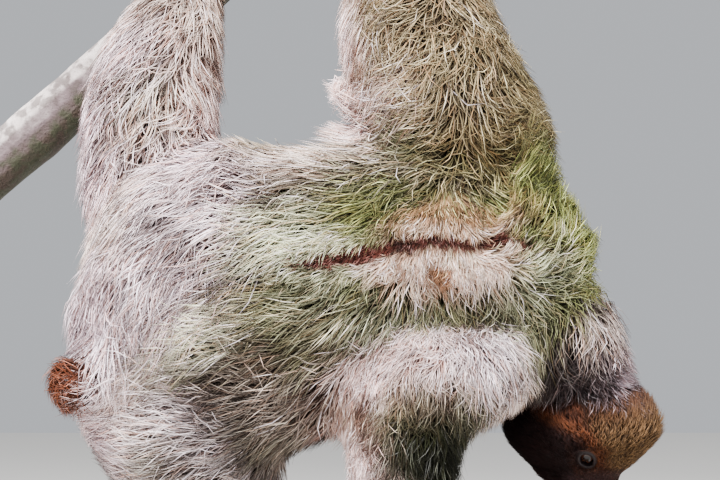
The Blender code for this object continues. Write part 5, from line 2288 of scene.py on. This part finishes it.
@dataclass
class Claws:
    """The twelve claws: round curved horn swept along the CAD's rings."""

    rings: int = 36
    sides: int = 20
    apart: float = 0.09
    corner: float = 0.866
    hollow: float = 0.14

    def spine(self, name: str) -> tuple[Array, Array, Array]:
        """Finds the arc that a CAD claw follows.

        Args:
            name: the node.

        Returns:
            The arc's hub; its first direction, second direction and normal as rows; and one row
            for each ring from the root on, with its share of the way, turn, radius, half width
            and half height.
        """
        points = np.unique(np.round(Form.of_nodes((name,)).points, 2), axis=0)
        middle = points.mean(axis=0)
        axes = np.linalg.svd(points - middle, full_matrices=False)[2]
        flat = (points - middle) @ axes[:2].T
        ones = np.ones((len(flat), 1))
        hub = np.linalg.lstsq(np.hstack([2.0 * flat, ones]), (flat**2).sum(axis=1), rcond=None)[0][:2]
        lead = -hub / np.linalg.norm(hub)
        turned = np.array([lead, (-lead[1], lead[0])])
        off = (flat - hub) @ turned.T
        turn, reach = np.arctan2(off[:, 1], off[:, 0]), np.linalg.norm(off, axis=1)
        across = (points - middle) @ axes[2]
        order = np.argsort(turn)
        rows = []
        for ring in np.split(order, np.flatnonzero(np.diff(turn[order]) > self.apart) + 1):
            near, far = reach[ring].min(), reach[ring].max()
            wide = 0.5 * (across[ring].max() - across[ring].min())
            rows.append((turn[ring].mean(), 0.5 * (near + far), wide, 0.5 * (far - near) / self.corner))
        if rows[-1][2] > rows[0][2]:
            rows.reverse()
        rows = np.column_stack([np.linspace(0.0, 1.0, len(rows)), rows])
        plane = np.concatenate([turned @ axes[:2], axes[2:]])
        return middle + hub @ axes[:2], plane, rows

    def build(self, name: str) -> Piece:
        """Sweeps one claw.

        Args:
            name: the node that it stands for.

        Returns:
            The claw's object.
        """
        hub, plane, rows = self.spine(name)
        share = np.linspace(0.0, 1.0, self.rings) ** 0.85
        turn, radius, wide, high = through_rows(rows, share).T
        out = np.cos(turn)[:, None] * plane[0] + np.sin(turn)[:, None] * plane[1]
        angle = 2.0 * np.pi * np.arange(self.sides) / self.sides
        rise = np.sin(angle) * np.where(np.sin(angle) < 0.0, 0.9, 1.0)
        rise = rise + self.hollow * (np.sin(angle) < 0.0) * np.exp(-((np.cos(angle) / 0.45) ** 2))
        ring = hub + radius[:, None] * out
        points = ring[:, None] + (high[:, None] * rise)[..., None] * out[:, None]
        points = points + (wide[:, None] * np.cos(angle))[..., None] * plane[2]
        ends = np.stack([ring[0], ring[-1] + 1.2 * unit(ring[-1] - ring[-2])])
        count = self.rings * self.sides
        index = np.arange(count).reshape(self.rings, self.sides)
        on = np.roll(index, -1, axis=1)
        caps = [np.stack([index[0], on[0], np.full(self.sides, count)], 1),
                np.stack([on[-1], index[-1], np.full(self.sides, count + 1)], 1)]
        faces = np.concatenate([band(index)[:, ::-1], *caps])
        points = np.concatenate([points.reshape(-1, 3), ends])
        obj = make_mesh(f"horn_{name}", points, outward(points, faces))
        write_values(obj.data, "along", np.append(np.repeat(share, self.sides), (0.0, 1.0)))
        return obj

    def dress(self) -> None:
        """Builds every claw and gives it its horn."""
        horn = ClawFinish().material()
        for name in CLAWS:
            hand_over(self.build(name), horn, (name,))


@dataclass
class Eyes:
    """The two eyeballs."""

    head: HeadForm
    rings: int = 28
    sides: int = 40

    def build(self, name: str, side: float) -> None:
        """Makes an eyeball whose poles lie along its look, and dresses it.

        Args:
            name: the node that it stands for.
            side: 1 for the right eye, -1 for the left.
        """
        low, high = box_of(name)
        radius = 0.5 * float((high - low).mean())
        axes, eye = self.head.axes, self.head.eye_axes(side)
        points = 0.5 * (low + high) + radius * axes.turned(ball(self.rings, self.sides) @ eye)
        obj = make_mesh(f"ball_{name}", points, outward(points, ball_faces(self.rings, self.sides)))
        look = unit(axes.turned(eye[0]))
        finish = EyeFinish(tuple(map(float, middle_of(name))), tuple(map(float, look)))
        hand_over(obj, finish.material(), (name,))


@dataclass
class Stand:
    """The base as its CAD node has it, and rods and collars turned round over theirs."""

    sides: int = 72
    bevel: float = 0.7

    @property
    def turns(self) -> Array:
        """The angles at which a turned piece has its vertices."""
        return 2.0 * np.pi * np.arange(self.sides) / self.sides

    def rings(self, rows: Sequence[tuple[float, Union[float, Array]]]) -> Array:
        """Sets rings of vertices round an upright axis.

        Args:
            rows: each ring's radius, and its height or a height for each angle.

        Returns:
            The vertices, ring after ring.
        """
        flat = np.stack([np.cos(self.turns), np.sin(self.turns)], axis=1)
        heights = [np.broadcast_to(height, self.sides)[:, None] for _, height in rows]
        return np.concatenate([np.hstack([radius * flat, z]) for (radius, _), z in zip(rows, heights)])

    def rod(self, name: str) -> Piece:
        """Turns a rod whose head follows the CAD rod's head.

        Args:
            name: the node that it stands for.

        Returns:
            The rod.
        """
        low, high = box_of(name)
        centre, radius, b = 0.5 * (low + high), 0.5 * max(high[:2] - low[:2]), self.bevel
        foot = low[2] - centre[2]
        off = Form.of_nodes((name,)).points - centre
        head = off[off[:, 2] > 0.0]
        out = np.hypot(head[:, 0], head[:, 1]) / radius
        edge, core = head[out > 0.5], head[out < 0.5]
        turn = np.arctan2(edge[:, 1], edge[:, 0])
        order = np.argsort(turn)
        rim = np.interp(self.turns, turn[order], edge[order, 2], period=2.0 * np.pi)
        rows = [(radius - b, foot), (radius, foot + b), (radius, foot + 4 * b)]
        rows += [(radius, rim - 4 * b), (radius, rim - b), (radius - b, rim)]
        ends = np.array([[[0.0, 0.0, foot]], [[0.0, 0.0, core[:, 2].mean()]]])
        points = centre + np.concatenate([ends[0], self.rings(rows), ends[1]])
        faces = ball_faces(len(rows) + 1, self.sides)
        return make_mesh(name.replace("stand", "turned"), points, outward(points, faces))

    def collar(self, name: str) -> Piece:
        """Turns a collar with its bore.

        Args:
            name: the node that it stands for.

        Returns:
            The collar.
        """
        low, high = box_of(name)
        centre, radius, b = 0.5 * (low + high), 0.5 * max(high[:2] - low[:2]), self.bevel
        off = Form.of_nodes((name,)).points - centre
        bore, top = np.hypot(off[:, 0], off[:, 1]).min(), high[2] - centre[2]
        rows = [(bore, -top), (radius - b, -top), (radius, b - top), (radius, top - b)]
        rows += [(radius - b, top), (radius - 3 * b, top), (bore, top)]
        index = np.arange(len(rows) * self.sides).reshape(len(rows), self.sides)
        faces = band(np.concatenate([index, index[:1]]))
        points = centre + self.rings(rows)
        return make_mesh(name.replace("stand", "turned"), points, outward(points, faces))

    def dress(self) -> None:
        """Builds the turned pieces and gives every part of the stand its finish."""
        dress(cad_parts["stand_base"], WoodFinish().material())
        steel = SteelFinish().material()
        for name in [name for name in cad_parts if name.startswith(("stand_rod", "stand_collar"))]:
            piece = self.rod(name) if "rod" in name else self.collar(name)
            hand_over(piece, steel, (name,))


# ---- floor, light and camera ----


@dataclass
class Studio:
    """The floor, the soft lights and the camera."""

    centre: Array
    floor_size: float = 9.0
    camera_away: float = 2.3
    frame_width: float = 0.5184
    sensor: float = 36.0
    sky: Triple = (0.80, 0.83, 0.88)
    sky_strength: float = 0.7

    def floor(self) -> None:
        """Makes the pale floor under the base."""
        half = self.floor_size / 2.0 / MM
        ground = float(CAD_BOX[0][2]) / MM - 0.2
        points = half * np.array([(-1, -1, 0), (1, -1, 0), (1, 1, 0), (-1, 1, 0)]) + (0.0, 0.0, ground)
        obj = make_mesh("floor", points, np.array([[0, 1, 2, 3]]))
        dress(obj, FloorFinish().material())

    def light(self, name: str, place: Triple, power: float, size: float, colour: Triple) -> None:
        """Hangs one soft square light that faces the animal.

        Args:
            name: the light's name.
            place: where it hangs, in metres from the animal's middle.
            power: its power in watts.
            size: its side in metres.
            colour: its colour.
        """
        lamp = bpy.data.lights.new(name, "AREA")
        lamp.energy, lamp.size, lamp.color = power, size, colour
        obj = bpy.data.objects.new(name, lamp)
        middle = Vector(self.centre * MM)
        obj.location = middle + Vector(place)
        obj.rotation_euler = (middle - obj.location).to_track_quat("-Z", "Y").to_euler()
        bpy.context.scene.collection.objects.link(obj)

    def camera(self) -> None:
        """Looks level at the animal's back."""
        lens = bpy.data.cameras.new("camera")
        lens.sensor_width = self.sensor
        lens.lens = self.sensor * self.camera_away / self.frame_width
        obj = bpy.data.objects.new("camera", lens)
        obj.location = Vector(self.centre * MM) + Vector((0.0, -self.camera_away, 0.0))
        obj.rotation_euler = (np.pi / 2.0, 0.0, 0.0)
        bpy.context.scene.collection.objects.link(obj)
        bpy.context.scene.camera = obj

    def build(self) -> None:
        """Sets the studio up."""
        world = bpy.data.worlds.new("studio")
        world.use_nodes = True
        back = world.node_tree.nodes["Background"]
        back.inputs["Color"].default_value = (*self.sky, 1.0)
        back.inputs["Strength"].default_value = self.sky_strength
        bpy.context.scene.world = world
        self.floor()
        self.light("key", (-0.8, -1.6, 2.1), 510.0, 0.9, (1.0, 0.98, 0.96))
        self.light("fill", (1.9, -1.5, 0.5), 22.0, 1.8, (0.92, 0.96, 1.0))
        self.light("rim", (0.6, 1.7, 1.5), 55.0, 1.4, (1.0, 1.0, 1.0))
        self.camera()


# ---- the whole model ----


def animal_middle() -> Array:
    """Finds the place that the coat's plan is measured from.

    Returns:
        The animal's middle, from the base's box.
    """
    low, high = box_of("stand_base")
    under = 0.5 * (low + high)
    under[2] = low[2]
    return under + np.array(ABOVE_BASE)


def main() -> None:
    """Builds the animal, its perch and stand, and the studio."""
    origin = animal_middle()
    head = HeadForm(HeadFrame())
    plan = Pelage(origin, head, Back())
    skin = Skin(plan, head)
    skin.build()
    skin.mark()
    hand_over(skin.obj, SkinFinish().material(), FLESH)
    coat = Coat(skin, plan, Unwrap(skin.obj))
    coat.build()
    fur = FurFinish().material()
    for piece in coat.pieces:
        hand_over(piece, fur)
    nose = Nose(head)
    nose.dress(nose.build())
    perch = Perch()
    perch.dress(perch.build())
    Claws().dress()
    eyes = Eyes(head)
    for name, side in (("eye_left", -1.0), ("eye_right", 1.0)):
        eyes.build(name, side)
    Stand().dress()
    Studio(origin).build()


if __name__ == "__main__":
    main()
